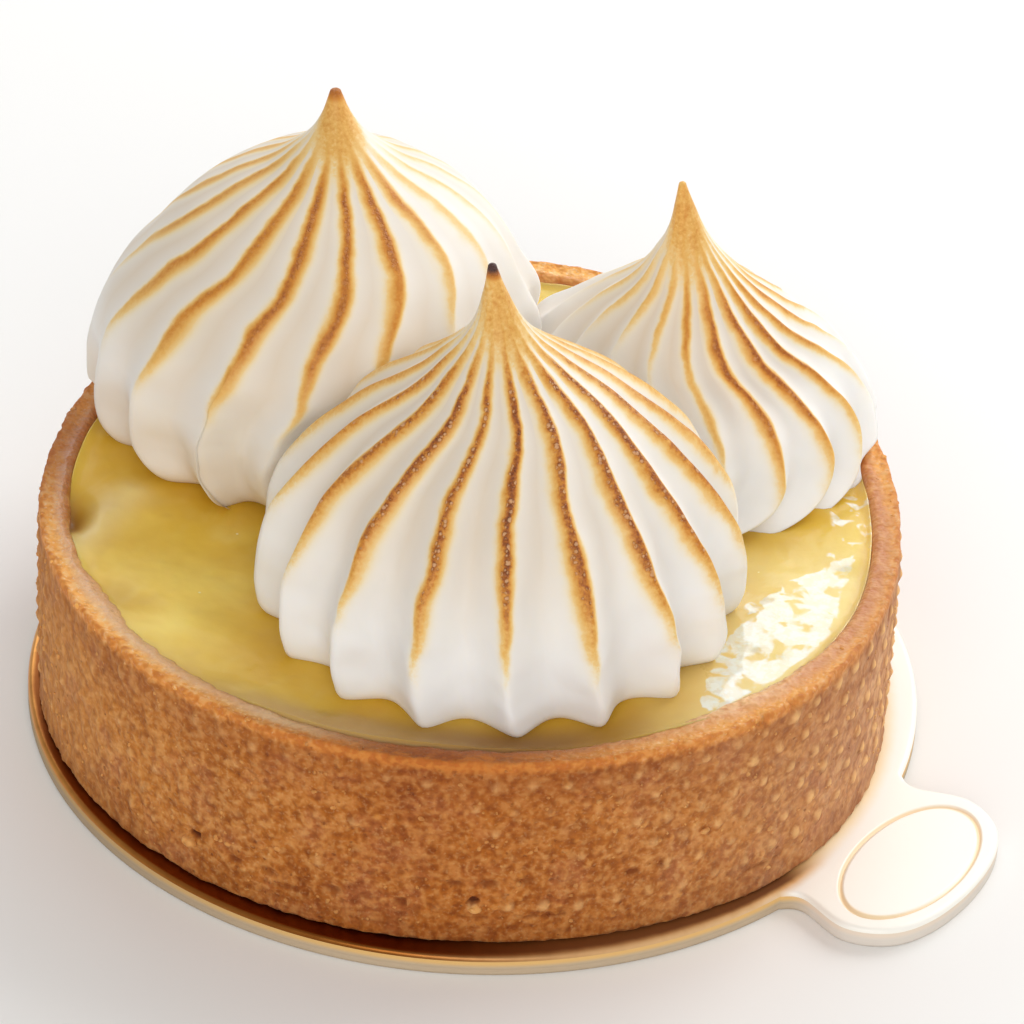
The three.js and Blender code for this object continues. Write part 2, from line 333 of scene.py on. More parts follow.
def placeCamera():
    elevation = math.radians(view["elevation"])
    roll = math.radians(view["roll"])
    target = Vector(view["target"]) * mm
    back = Vector((0, -math.cos(elevation), math.sin(elevation)))
    right = Vector((1, 0, 0))
    up = right.cross(-back)
    rolledRight = right * math.cos(roll) + up * math.sin(roll)
    rolledUp = up * math.cos(roll) - right * math.sin(roll)
    middle = view["framePixels"] / 2
    sideways = (middle - view["targetPixel"][0]) / view["focalPixels"]
    upwards = (view["targetPixel"][1] - middle) / view["focalPixels"]
    forward = (-back + rolledRight * sideways + rolledUp * upwards).normalized()
    side = forward.cross(rolledUp).normalized()
    camera = bpy.data.objects.new("camera", bpy.data.cameras.new("camera"))
    scene.collection.objects.link(camera)
    camera.data.sensor_width = view["sensor"]
    camera.data.lens = view["focalPixels"] * view["sensor"] / view["framePixels"]
    camera.data.clip_start = view["nearest"] * mm
    turned = Matrix((side, side.cross(forward), -forward)).transposed().to_4x4()
    camera.matrix_world = Matrix.Translation(target + back * view["distance"] * mm) @ turned
    scene.camera = camera


placeCamera()

studio = {
    "floorTint": (244, 243, 241),
    "floorReach": 3000.0,
    "floorRoughness": 0.9,
    "sky": 0.52,
    "skyTint": (253, 252, 250),
    "lights": [  # name, place, aim, width, height, watts, tint
        ("windowBackRight", (300, 250, 300), (10, 0, 20), 320, 300, 1.1, (255, 254, 252)),
        ("paleWallBehind", (60, 380, 260), (20, 0, 10), 560, 340, 0.75, (250, 252, 255)),
        ("fillInFront", (-30, -560, 330), (0, 0, 20), 460, 360, 1.5, (255, 254, 252)),
        ("panelOverCurd", (46, 235, 200), (28, -8, 20), 190, 118, 0.036, (196, 220, 255)),
    ],
}


def makeStudio():
    world = bpy.data.worlds.new("paleRoom")
    world.use_nodes = True
    background = world.node_tree.nodes["Background"]
    background.inputs["Color"].default_value = tint(*studio["skyTint"])
    background.inputs["Strength"].default_value = studio["sky"]
    scene.world = world
    mesh = bpy.data.meshes.new("floor")
    reach = studio["floorReach"] * mm
    corners = [(-reach, -reach, 0), (reach, -reach, 0), (reach, reach, 0), (-reach, reach, 0)]
    mesh.from_pydata(corners, [], [(0, 1, 2, 3)])
    mesh.materials.append(surface(materialBench("paleFloor"), {
        "Base Color": tint(*studio["floorTint"]), "Roughness": studio["floorRoughness"]}))
    floor = bpy.data.objects.new("floor", mesh)
    scene.collection.objects.link(floor)
    for name, place, aim, width, height, watts, colour in studio["lights"]:
        lamp = bpy.data.lights.new(name, "AREA")
        lamp.shape = "RECTANGLE"
        lamp.size, lamp.size_y = width * mm, height * mm
        lamp.energy = watts
        lamp.color = tint(*colour)[:3]
        holder = bpy.data.objects.new(name, lamp)
        holder.location = Vector(place) * mm
        holder.rotation_euler = (Vector(place) - Vector(aim)).to_track_quat("Z", "Y").to_euler()
        scene.collection.objects.link(holder)
    scene.view_settings.view_transform = "Standard"


makeStudio()
print("camera, floor and lights placed")


def length(x, y):
    return (x * x + y * y).sqrt()


def polarParts(place):  # angle, radius and height of a point
    x, y, z = place.split()
    return y.arctan2(x), length(x, y), z


def bellAt(angle, at, spread):  # 1 in a direction, falling off smoothly to both sides
    return ((angle - math.radians(at)) / math.radians(spread)).bell()


def wrappedFrom(angle, at):  # how far an angle is from a direction, by the shorter way
    return (angle - math.radians(at)).wrap(-math.pi, math.pi)


def wrappedBell(angle, at, spread):
    return (wrappedFrom(angle, at) / math.radians(spread)).bell()


def outOfRound(angle):  # how far crust and curd leave the true circle, in millimetres
    out = 0
    for at, push, spread in crust["dents"]:
        out = wrappedBell(angle, at, spread) * push + out
    return out


board = {
    "radius": 41.4,
    "thickness": 2.0,
    "edgeRound": 0.45,
    "edgeRows": 6,
    "flatInset": 0.25,
    "cutInsets": [(0.3, 0.0), (0.06, 0.06)],  # the rounding of the cut under edge: inset, height
    "foilFrom": 0.3,  # height of the fold where the foil begins
    "middle": (0.7, -0.4),
    "tabDirection": -32.0,
    "tabReach": 53.4,
    "tabHalfWidth": 11.2,
    "neckDistance": 41.9,
    "neckFillet": 0.9,
    "tabOutline": [(0, 0.88), (0.42, 1), (0.76, 0.84), (0.94, 0.5)],  # shares out and across
    "oval": (47.1, 5.2, 9.6),  # distance out, half length, half width
    "grooveWidth": 0.7,
    "grooveDepth": 0.22,
    "grooveRows": 8,
    "discSteps": 300,
    "tabSteps": 12,
    "ovalSteps": 96,
    "butter": (-98, 46, 0.9, 3.1),  # the strip of painted shadow and dark painted reflection round the crust's foot: at, spread, least width, width more at most
    "dry": (-45, -34, 80),  # foil left without the painted shadow: from, wholly from, to
    "rubbed": (16.0, 34.0),  # distances towards the tab over which the foil turns pale, a painted highlight of glare
    "tints": {
        "foil": (238, 200, 134), "foilLight": (246, 216, 160), "butterRim": (222, 146, 58),
        "butter": (100, 44, 8), "butterLeft": (130, 70, 24), "paleNear": (255, 232, 180),
        "pale": (255, 254, 248), "stain": (222, 164, 58), "ovalLine": (240, 198, 118),
        "pulp": (204, 184, 156), "pulpDark": (172, 148, 118), "pulpUnderFoil": (232, 188, 118),
        "pulpLeft": (146, 122, 92), "pulpAtTab": (238, 232, 226),
    },
}


def foilMaterial():
    bench = materialBench("goldFoil", board["tints"])
    wash = bench.noise(bench.place, 16.0, 2.0)
    gold = bench.mix(wash.ramp(0.35, 0.65), "foil", "foilLight")
    # painted shadow and a dark painted reflection of the crust lie on the foil round its foot, most
    # of all in front, edged by a golden painted reflection
    angle, radius, _ = polarParts(bench.place)
    ragged = (bench.noise(bench.place, 1.5) - 0.5) * 0.3
    gap = radius - crust["radius"] - outOfRound(angle) + ragged
    at, spread, least, more = board["butter"]
    away = gap / (least + more * bellAt(angle, at, spread))
    dryFrom, dryWhole, dryTo = board["dry"]
    dry = ((angle - math.radians(dryFrom)).ramp(0.0, math.radians(dryWhole - dryFrom))
           * (angle - math.radians(dryTo)).below(0.0))
    footShadowed = away.fade(0.3, 0.85) * (0.96 - 0.9 * dry)
    across, along, _ = bench.place.split()
    butter = bench.mix((-across).ramp(2.0, 24.0), "butter", "butterLeft")
    gold = bench.coats(gold, (away.fade(0.7, 2.2) * (0.85 - 0.75 * dry), "butterRim"),
                       (footShadowed, butter))
    # towards the tab the foil is painted pale, a painted highlight of glare, and scatters more
    # light
    turn = math.radians(board["tabDirection"])
    rubbed = (across * math.cos(turn) + along * math.sin(turn)).ramp(*board["rubbed"])
    # near the crust the painted pale turns warm and golden: a painted reflection of the crust
    pale = bench.mix(gap.ramp(-0.4, 1.6), "paleNear", "pale")
    pale = bench.mix(away.fade(0.5, 1.3) * (1 - dry) * 0.8, pale, "stain")
    gold = bench.mix(rubbed * (0.92 - 0.9 * footShadowed * (1 - dry)), gold, pale)
    outX, outY = across - board["middle"][0], along - board["middle"][1]
    distance, halfLength, halfWidth = board["oval"]
    oval = length((outX * math.cos(turn) + outY * math.sin(turn) - distance) / halfLength,
                  (outY * math.cos(turn) - outX * math.sin(turn)) / halfWidth)
    gold = bench.mix(oval.ramp(0.9, 0.94) * oval.fade(0.96, 1.0) * 0.6, gold, "ovalLine")
    cloudy = bench.noise(bench.place, 5.0, 3.0)
    return surface(bench, {"Base Color": gold, "Metallic": 1 - rubbed * 0.9,
                           "Roughness": 0.26 + 0.1 * cloudy + 0.2 * rubbed},
                   [(bench.noise(bench.place, 1.6, 3.0), 0.02)])


def coreMaterial():
    bench = materialBench("cardCore", board["tints"])
    across, _, up = bench.place.split()
    layers = (up * 9.0 + bench.noise(bench.place, 3.0) * 2.0).sin().ramp(0.3, 1.0)
    fibres = bench.noise(bench.place.vector("MULTIPLY", (1.0, 1.0, 8.0)), 1.4, 3.0)
    atTab = polarParts(bench.place)[1].ramp(board["radius"] + 0.8, board["radius"] + 4.0)
    pulp = bench.mix(layers * 0.15 + fibres * 0.35, "pulp", "pulpDark")
    # the cut edge is painted darker towards the left, painted shade, and paler at the tab, painted
    # light
    pulp = bench.coats(pulp, (up.ramp(0.8, 1.35), "pulpUnderFoil"),
                       ((-across).ramp(4.0, 38.0) * 0.5, "pulpLeft"), (atTab * 0.7, "pulpAtTab"))
    return surface(bench, {"Base Color": pulp, "Roughness": 0.85}, [(fibres, 0.1)])


def splineThrough(points, steps):  # a smooth curve that passes through every point
    path = []
    for index in range(len(points) - 1):
        before = points[max(index - 1, 0)]
        start, end = points[index], points[index + 1]
        after = points[min(index + 2, len(points) - 1)]
        pullStart, pullEnd = (end - before) / 2, (after - start) / 2
        for step in range(steps):
            t = step / steps
            path.append((2 * start - 2 * end + pullStart + pullEnd) * t ** 3
                        + (-3 * start + 3 * end - 2 * pullStart - pullEnd) * t ** 2
                        + pullStart * t + start)
    return path


def boardOutline():
    radius, halfWidth, neckAt = board["radius"], board["tabHalfWidth"], board["neckDistance"]
    neck = math.asin((halfWidth * board["tabOutline"][0][1] + board["neckFillet"]) / radius)
    disc = []
    for step in range(board["discSteps"] + 1):
        angle = neck + (fullTurn - 2 * neck) * step / board["discSteps"]
        disc.append(Vector((math.cos(angle), math.sin(angle))) * radius)
    span = board["tabReach"] - neckAt
    sides = {sign: [Vector((neckAt + span * out, sign * across * halfWidth))
                    for out, across in board["tabOutline"]] for sign in (-1, 1)}
    knots = [disc[-1], *sides[-1], Vector((board["tabReach"], 0)), *sides[1][::-1], disc[0]]
    return disc[:-1] + splineThrough(knots, board["tabSteps"])


def inwards(outline, distance):  # the outline moved in along its own normals
    count = len(outline)
    moved = []
    for index, point in enumerate(outline):
        along = (outline[(index + 1) % count] - outline[index - 1]).normalized()
        moved.append(point + Vector((-along.y, along.x)) * distance)
    return moved


def insideOutline(point, outline):
    inside = False
    for start, end in zip(outline, outline[1:] + outline[:1]):
        if (start.y > point.y) != (end.y > point.y):
            if point.x < start.x + (point.y - start.y) / (end.y - start.y) * (end.x - start.x):
                inside = not inside
    return inside


def ovalRing(inset):
    distance, halfLength, halfWidth = board["oval"]
    angles = [fullTurn * step / board["ovalSteps"] for step in range(board["ovalSteps"])]
    return [Vector((distance + (halfLength - inset) * math.cos(a),
                    (halfWidth - inset) * math.sin(a))) for a in angles]


def bridge(lower, upper, count):  # quads between two rings of points, by their first numbers
    return [(lower + index, lower + (index + 1) % count, upper + (index + 1) % count,
             upper + index) for index in range(count)]


def flatBetween(points, edgeLoop, ovalLoop):  # triangles between the edge and the pressed oval
    loop = edgeLoop + ovalLoop
    flat = [Vector(points[i][:2]) for i in loop]
    edges = [(i, (i + 1) % len(edgeLoop)) for i in range(len(edgeLoop))]
    edges += [(len(edgeLoop) + i, len(edgeLoop) + (i + 1) % len(ovalLoop))
              for i in range(len(ovalLoop))]
    corners, _, triangles, originals, _, _ = geometry.delaunay_2d_cdt(flat, edges, [], 0, tiny)
    source = [loop[group[0]] for group in originals]
    distance, halfLength, halfWidth = board["oval"]
    nearOval = 0.998
    kept = []
    for triangle in triangles:
        middle = sum((corners[i] for i in triangle), Vector((0, 0))) / 3
        inOval = ((middle.x - distance) / halfLength) ** 2 + (middle.y / halfWidth) ** 2 < nearOval
        if not inOval and insideOutline(middle, flat[:len(edgeLoop)]):
            kept.append(tuple(source[i] for i in triangle))
    return kept


def makeBoard():
    outline = boardOutline()
    top, edge = board["thickness"], board["edgeRound"]
    rings = [(inwards(outline, inset), height) for inset, height in board["cutInsets"]]
    rings += [(outline, board["foilFrom"]), (outline, top - edge)]
    foilRing = len(rings) - 1
    for step in range(1, board["edgeRows"] + 1):
        angle = math.pi / 2 * step / board["edgeRows"]
        rings.append((inwards(outline, edge * (1 - math.cos(angle))),
                      top - edge * (1 - math.sin(angle))))
    rings.append((inwards(outline, edge + board["flatInset"]), top))
    points = [(p.x, p.y, height) for ring, height in rings for p in ring]
    count, ovalSteps, grooveRows = len(outline), board["ovalSteps"], board["grooveRows"]
    core, foil = [], []
    for level in range(len(rings) - 1):
        quads = bridge(level * count, (level + 1) * count, count)
        (foil if level >= foilRing else core).extend(quads)
    core.append(tuple(range(count))[::-1])
    ovalStart = len(points)
    for row in range(grooveRows + 1):
        share = row / grooveRows
        sink = board["grooveDepth"] * math.sin(math.pi * share) ** 2
        points += [(p.x, p.y, top - sink) for p in ovalRing(board["grooveWidth"] * share)]
    for row in range(grooveRows):
        foil += bridge(ovalStart + row * ovalSteps, ovalStart + (row + 1) * ovalSteps, ovalSteps)
    foil.append(tuple(range(ovalStart + grooveRows * ovalSteps, len(points))))
    foil += flatBetween(points, list(range(ovalStart - count, ovalStart)),
                        list(range(ovalStart, ovalStart + ovalSteps)))
    turn = Matrix.Rotation(math.radians(board["tabDirection"]), 3, "Z")
    shift = Vector((*board["middle"], 0))
    mesh = bpy.data.meshes.new("goldBoard")
    mesh.from_pydata([(turn @ Vector(p) + shift) * mm for p in points], [], foil + core)
    mesh.materials.append(foilMaterial())
    mesh.materials.append(coreMaterial())
    for number, polygon in enumerate(mesh.polygons):
        polygon.material_index = 0 if number < len(foil) else 1
        polygon.use_smooth = len(polygon.vertices) == 4
    mesh.validate()
    piece = bpy.data.objects.new("goldBoard", mesh)
    scene.collection.objects.link(piece)
    return piece


crust = {
    "radius": 39.8,
    "height": 20.0,
    "wall": 2.7,
    "floor": 3.0,
    "footRound": 0.5,
    "lipRound": 0.3,
    "innerRound": 0.8,
    "innerDrop": 0.22,  # how far the rim falls towards the curd
    "innerRows": (2.2, 3.6, 6),  # depths of the rows below the rim on the inside
    "floorCorner": 1.5,
    "underInset": 8,
    "roundRows": 3,
    "rimSag": 0.08,
    "columns": 900,
    "wallRows": 64,
    "rimRows": 8,
    "rimWave": 0.22,
    "relief": 0.5,  # of the crumb
    "dents": [(-45, 1.0, 24), (4, -0.9, 22), (80, 0.6, 30), (168, -0.3, 18)],  # at, out, spread
    "dotsRound": 80,
    "firstDots": 4.05,
    "dotRows": 6,
    "rowStep": 2.71,
    "dotHeight": 0.34,
    "dotStray": 0.4,
    "pressed": [(0, -109, 13), (1, -87, 10), (1, -66, 2.5)],  # dots baked in: row, at, half width
    "faint": (-112, 46),  # where the dots hardly show: at, spread
    "raised": (0, -81, 11),  # dots that all stand out: row, at, half width
    "chips": [(-50.2, 1.1, 0.5), (-44.7, 0.9, 0.4), (-62, 0.9, 0.3), (-141, 1.2, 0.3),
              (30, 1.4, 0.4), (112, 1.6, 0.45)],  # at, half width in degrees, depth
    "slump": (-50, 15, 1.2),  # at, spread and depth of the wall's lean over the curd
    "lapped": (-142, 26, 3.4),  # at, spread and depth where curd and wall run into each other
    "crease": 3.0,  # height of the line where the ring's foot pressed in
    "creased": [(-82, 9.5), (-48.5, 3), (-112, 4)],  # at, half width
    "holes": [(-87.7, 4.8, 0.55), (-125.9, 4.8, 0.6)],  # at, height, half width
    "stuck": [(-87.5, 3.95, 0.5), (-126.6, 3.8, 0.66), (-58, 9.6, 0.4)],  # crumbs, like holes
    "crumbsPerSquare": 0.3,  # on each square millimetre of wall
    "crumbSizes": (0.12, 0.34),
    "crumbSeed": 5,
    "tints": {
        "dough": (172, 98, 28), "doughLight": (194, 118, 40), "rosy": (184, 116, 84),
        "crumbPale": (218, 152, 84), "crumbDark": (136, 68, 16), "lump": (228, 160, 80),
        "grain": (236, 180, 112), "grainGap": (124, 58, 12), "sand": (250, 210, 156),
        "windowSide": (232, 188, 154), "mottlePale": (242, 196, 148), "mottleDark": (136, 70, 30),
        "leftSide": (234, 176, 112), "underRim": (142, 74, 40), "foot": (124, 60, 12),
        "moistWall": (232, 210, 186), "dotRing": (144, 78, 30), "dot": (248, 196, 130),
        "hole": (122, 56, 10), "pit": (120, 54, 10), "pitDeep": (78, 30, 4),
        "rimDry": (255, 186, 98), "rimMoist": (152, 82, 36), "rimPatch": (226, 138, 54),
        "rimGrain": (252, 208, 150), "rimGap": (184, 100, 36), "rimSand": (255, 230, 194),
        "glaze": (198, 116, 48), "glazeLight": (232, 166, 94), "glazeMoist": (158, 88, 42),
        "film": (222, 186, 140), "slump": (254, 214, 162), "lip": (196, 108, 36),
        "lipLight": (222, 138, 54), "rimWindow": (190, 126, 82), "rimDark": (152, 84, 44),
        "sheen": (255, 224, 190),
    },
}


def ringDots(bench, angle, height, warp):  # raised and pressed dots that the ring's holes left
    lift = bellAt(angle, -36, 22) * 0.8
    rowPlace = (height - lift - crust["firstDots"]) / crust["rowStep"]
    row = rowPlace.round()
    columnPlace = angle * (crust["dotsRound"] / fullTurn) + row.pingPong(1.0) * 0.5 + 0.5
    column = columnPlace.round()
    key = column.wrap(0.0, float(crust["dotsRound"]))
    pitch = fullTurn * crust["radius"] / crust["dotsRound"]
    strayAcross, strayAlong = ((bench.draw(key, row, seed) - 0.5) * crust["dotStray"]
                               for seed in (1.5, 2.5))
    across = (columnPlace - column) * pitch + strayAcross
    along = (rowPlace - row) * crust["rowStep"] + strayAlong
    size = 0.56 + 0.2 * bench.draw(key, row, 3.5)
    inRows = row.ramp(-0.6, -0.4) * row.fade(crust["dotRows"] - 0.6, crust["dotRows"] - 0.4)
    faint = bellAt(angle, *crust["faint"])
    pick = bench.draw(key, row, 4.5)
    strength = (pick.ramp(-0.8, 0.3) * (1 - faint) + pick.ramp(0.4, 1.0) * faint * 0.8) * inRows

    def chosen(dotRow, at, halfWidth):  # 1 on the dots of one row between two directions
        return abs(row - dotRow).below(0.5) * abs(angle * perRadian - at).below(halfWidth)

    strength = strength.most(chosen(*crust["raised"]) * 1.15)
    pressed = 0
    for group in crust["pressed"]:
        pressed = chosen(*group) + pressed
    distance = (across * across + along * along * 0.8).sqrt() / size * (1 + warp * 1.6)
    flat = (across * across * 0.45 + along * along * 1.7).sqrt() / size * (1 + warp * 0.8)
    pits = flat.fade(0.35, 1.25) * pressed * (0.55 + 0.45 * pick)
    return distance.fade(0.05, 1.3) * strength * (1 - pressed), pits


def arc(centre, radius, start, end, steps):
    angles = [math.radians(start + (end - start) * step / steps) for step in range(steps + 1)]
    return [(centre[0] + radius * math.cos(a), centre[1] + radius * math.sin(a)) for a in angles]


def crustProfile():
    radius, height, floor = crust["radius"], crust["height"], crust["floor"]
    foot, lip, innerRound = crust["footRound"], crust["lipRound"], crust["innerRound"]
    corner, roundRows = crust["floorCorner"], crust["roundRows"]
    rows = [(0.0, 0.0), (radius - crust["underInset"], 0.0)]
    rows += arc((radius - foot, foot), foot, -90, 0, roundRows)
    wallRows, rimRows = crust["wallRows"], crust["rimRows"]
    top = height - lip
    rows += [(radius, foot + (top - foot) * step / wallRows) for step in range(1, wallRows + 1)]
    rows += arc((radius - lip, top), lip, 0, 80, roundRows)[1:]
    inner = radius - crust["wall"]
    start, end = rows[-1], (inner + innerRound, height - crust["innerDrop"])
    for step in range(1, rimRows):
        share = step / rimRows
        sag = crust["rimSag"] * math.sin(math.pi * share)
        rows.append((start[0] + (end[0] - start[0]) * share,
                     start[1] + (end[1] - start[1]) * share - sag))
    rows += arc((inner + innerRound, height - innerRound - crust["innerDrop"]), innerRound,
                90, 180, roundRows + 1)
    rows += [(inner, height - depth) for depth in crust["innerRows"]]
    return rows + [(inner, floor + corner), (inner - corner, floor), (0.0, floor)]


def crustMaterial():
    bench = materialBench("bakedCrust", crust["tints"])
    lumps, up, moist, dots, pits, filmed, slump = (bench.attribute(name) for name in (
        "lumps", "up", "moist", "dots", "pits", "filmed", "slump"))
    over = bench.attribute("over")  # 0 at the outer edge of the rim, 1 at the curd
    blotch = bench.noise(bench.place, 8.0, 3.0)
    rosy = bench.noise(bench.place, 4.5, 3.0, 0.6)
    mottle = bench.noise(bench.place, 2.4, 2.0, 0.6)
    patch = bench.noise(bench.place, 1.3, 2.0, 0.6)
    grain = bench.noise(bench.place, 0.7, 1.5, 0.5)
    sand = bench.noise(bench.place, 0.32, 1.0, 0.5)
    angle = polarParts(bench.place)[0]
    windowSide = bellAt(angle, -14, 34)
    leftSide = bellAt(angle.wrap(0.0, fullTurn), 196, 30)
    bakedAndShadedSide = bellAt(angle.wrap(0.0, fullTurn), 170, 16)
    bent = bench.place.vector("ADD", bench.join(grain, sand, patch).scaled(0.9))
    gap, pick = bench.cells(bent, 1.25)
    holes = gap.fade(0.06, 0.26) * pick.ramp(0.6, 0.75) * (1 - dots)
    crisp = 1 - 0.4 * windowSide - 0.45 * leftSide
    wall = bench.mix(blotch.ramp(0.3, 0.7), "dough", "doughLight")
    wall = bench.coats(
        wall,
        (rosy.ramp(0.46, 0.7) * 0.42, "rosy"),
        (patch.ramp(0.47, 0.68) * 0.6, "crumbPale"),
        (patch.fade(0.32, 0.48) * 0.5, "crumbDark"),
        # paler on the lumps and grain tops and darker between grains: partly the crumb's own tone,
        # partly painted light and shade of the relief
        (lumps.ramp(0.45, 0.8) * 0.55, "lump"),
        (grain.ramp(0.44, 0.74) * 0.42 * crisp, "grain"),
        (grain.fade(0.26, 0.52) * 0.46 * crisp, "grainGap"),
        (sand.ramp(0.54, 0.74) * 0.16 * crisp, "sand"),
        # on the window side the wall is painted paler, painted light, and its random mottle painted
        # paler and darker, painted light and shade
        (windowSide * 0.34, "windowSide"),
        (mottle.ramp(0.5, 0.66) * 0.34 * windowSide, "mottlePale"),
        (mottle.fade(0.34, 0.5) * 0.34 * windowSide, "mottleDark"),
        # the left side is painted lighter: painted light
        (leftSide * 0.16, "leftSide"),
        (up.ramp(13.5, 18.0) * 0.25, "underRim"),
        (up.fade(0.5, 4.5) * 0.25, "foot"))
    # the front of the wall is darkened: painted shade
    wall = bench.mix(moist * 0.75, wall, "moistWall", "MULTIPLY")
    # each dot gets a ring of painted shade and is painted paler, a painted highlight, most on the
    # window side
    ring = dots.ramp(0.0, 0.12) * dots.fade(0.15, 0.5)
    wall = bench.coats(
        wall,
        (ring * (0.14 + 0.2 * windowSide), "dotRing"),
        (dots.ramp(0.1, 1.0) * (0.42 + 0.5 * windowSide) * (0.7 + 0.6 * patch), "dot"),
        # dark in the holes, pits and crease line: painted shade
        (holes * 0.6, "hole"),
        (pits.ramp(0.0, 1.1) * 0.85, "pit"),
        (pits.ramp(1.0, 1.7) * 0.85, "pitDeep"))
    onRim = (up + (grain - 0.5) * 0.35 + (patch - 0.5) * 0.6).ramp(18.65, 19.5)
    # the front of the rim is darker and has fewer pale grains: painted shade
    dry = 1 - moist
    sandy = bench.coats(
        bench.mix(moist, "rimDry", "rimMoist"),
        (patch.ramp(0.4, 0.65) * 0.4, "rimPatch"),
        # the rim's grains paler and their gaps darker: partly their own tone, partly painted light
        # and shade
        (grain.ramp(0.5, 0.66) * dry * 0.5, "rimGrain"),
        (grain.fade(0.32, 0.46) * 0.3, "rimGap"),
        (sand.ramp(0.55, 0.7) * dry * 0.4, "rimSand"))
    glaze = bench.mix(patch.ramp(0.3, 0.7), "glaze", "glazeLight")
    # the glaze is darker at the front: painted shade
    glaze = bench.mix(moist, glaze, "glazeMoist")
    glazed = (over + (patch - 0.5) * 0.6 + windowSide * 0.3).ramp(0.45, 0.85)
    lipEdge = (over + (grain - 0.5) * 0.35 + (patch - 0.5) * 0.5).fade(0.0, 0.26)
    rim = bench.coats(
        sandy,
        (glazed, glaze),
        (filmed * 0.75, "film"),
        (slump * (0.4 + 0.6 * grain.ramp(0.35, 0.6)) * 0.85, "slump"),
        (lipEdge * 0.7, bench.mix(grain.ramp(0.4, 0.65), "lip", "lipLight")),
        # on the window side the rim is painted darker and duller: painted shade
        (windowSide * (0.5 - 0.5 * slump), "rimWindow"),
        # the rim at the left back is darker: partly baked darker, partly painted shade of the left
        # kiss
        (bakedAndShadedSide * 0.75, "rimDark"))
    wet = onRim * over.ramp(0.3, 0.9).most(glazed)
    rough = 0.84 - onRim * 0.14 - 0.36 * wet - 0.1 * sand.ramp(0.6, 0.75)
    glint = leftSide * over.ramp(0.4, 0.7) * onRim
    relief = ((grain * 0.24 + sand * 0.02 * (1 - wet)) * crisp + patch * 0.32 - holes * 0.08
              + sand * 0.2 * glint)
    return surface(bench, {
        "Base Color": bench.mix(onRim, wall, rim), "Roughness": rough, "Specular IOR Level": 0.25,
        "Coat Weight": wet * 0.22 + glint * 0.5 + slump * 0.4, "Coat Roughness": 0.12,
        "Subsurface Weight": 0.06, "Subsurface Scale": 0.001, "Sheen Weight": 0.08,
        "Sheen Roughness": 0.4, "Sheen Tint": tint(*crust["tints"]["sheen"])}, [(relief, 1.0)])


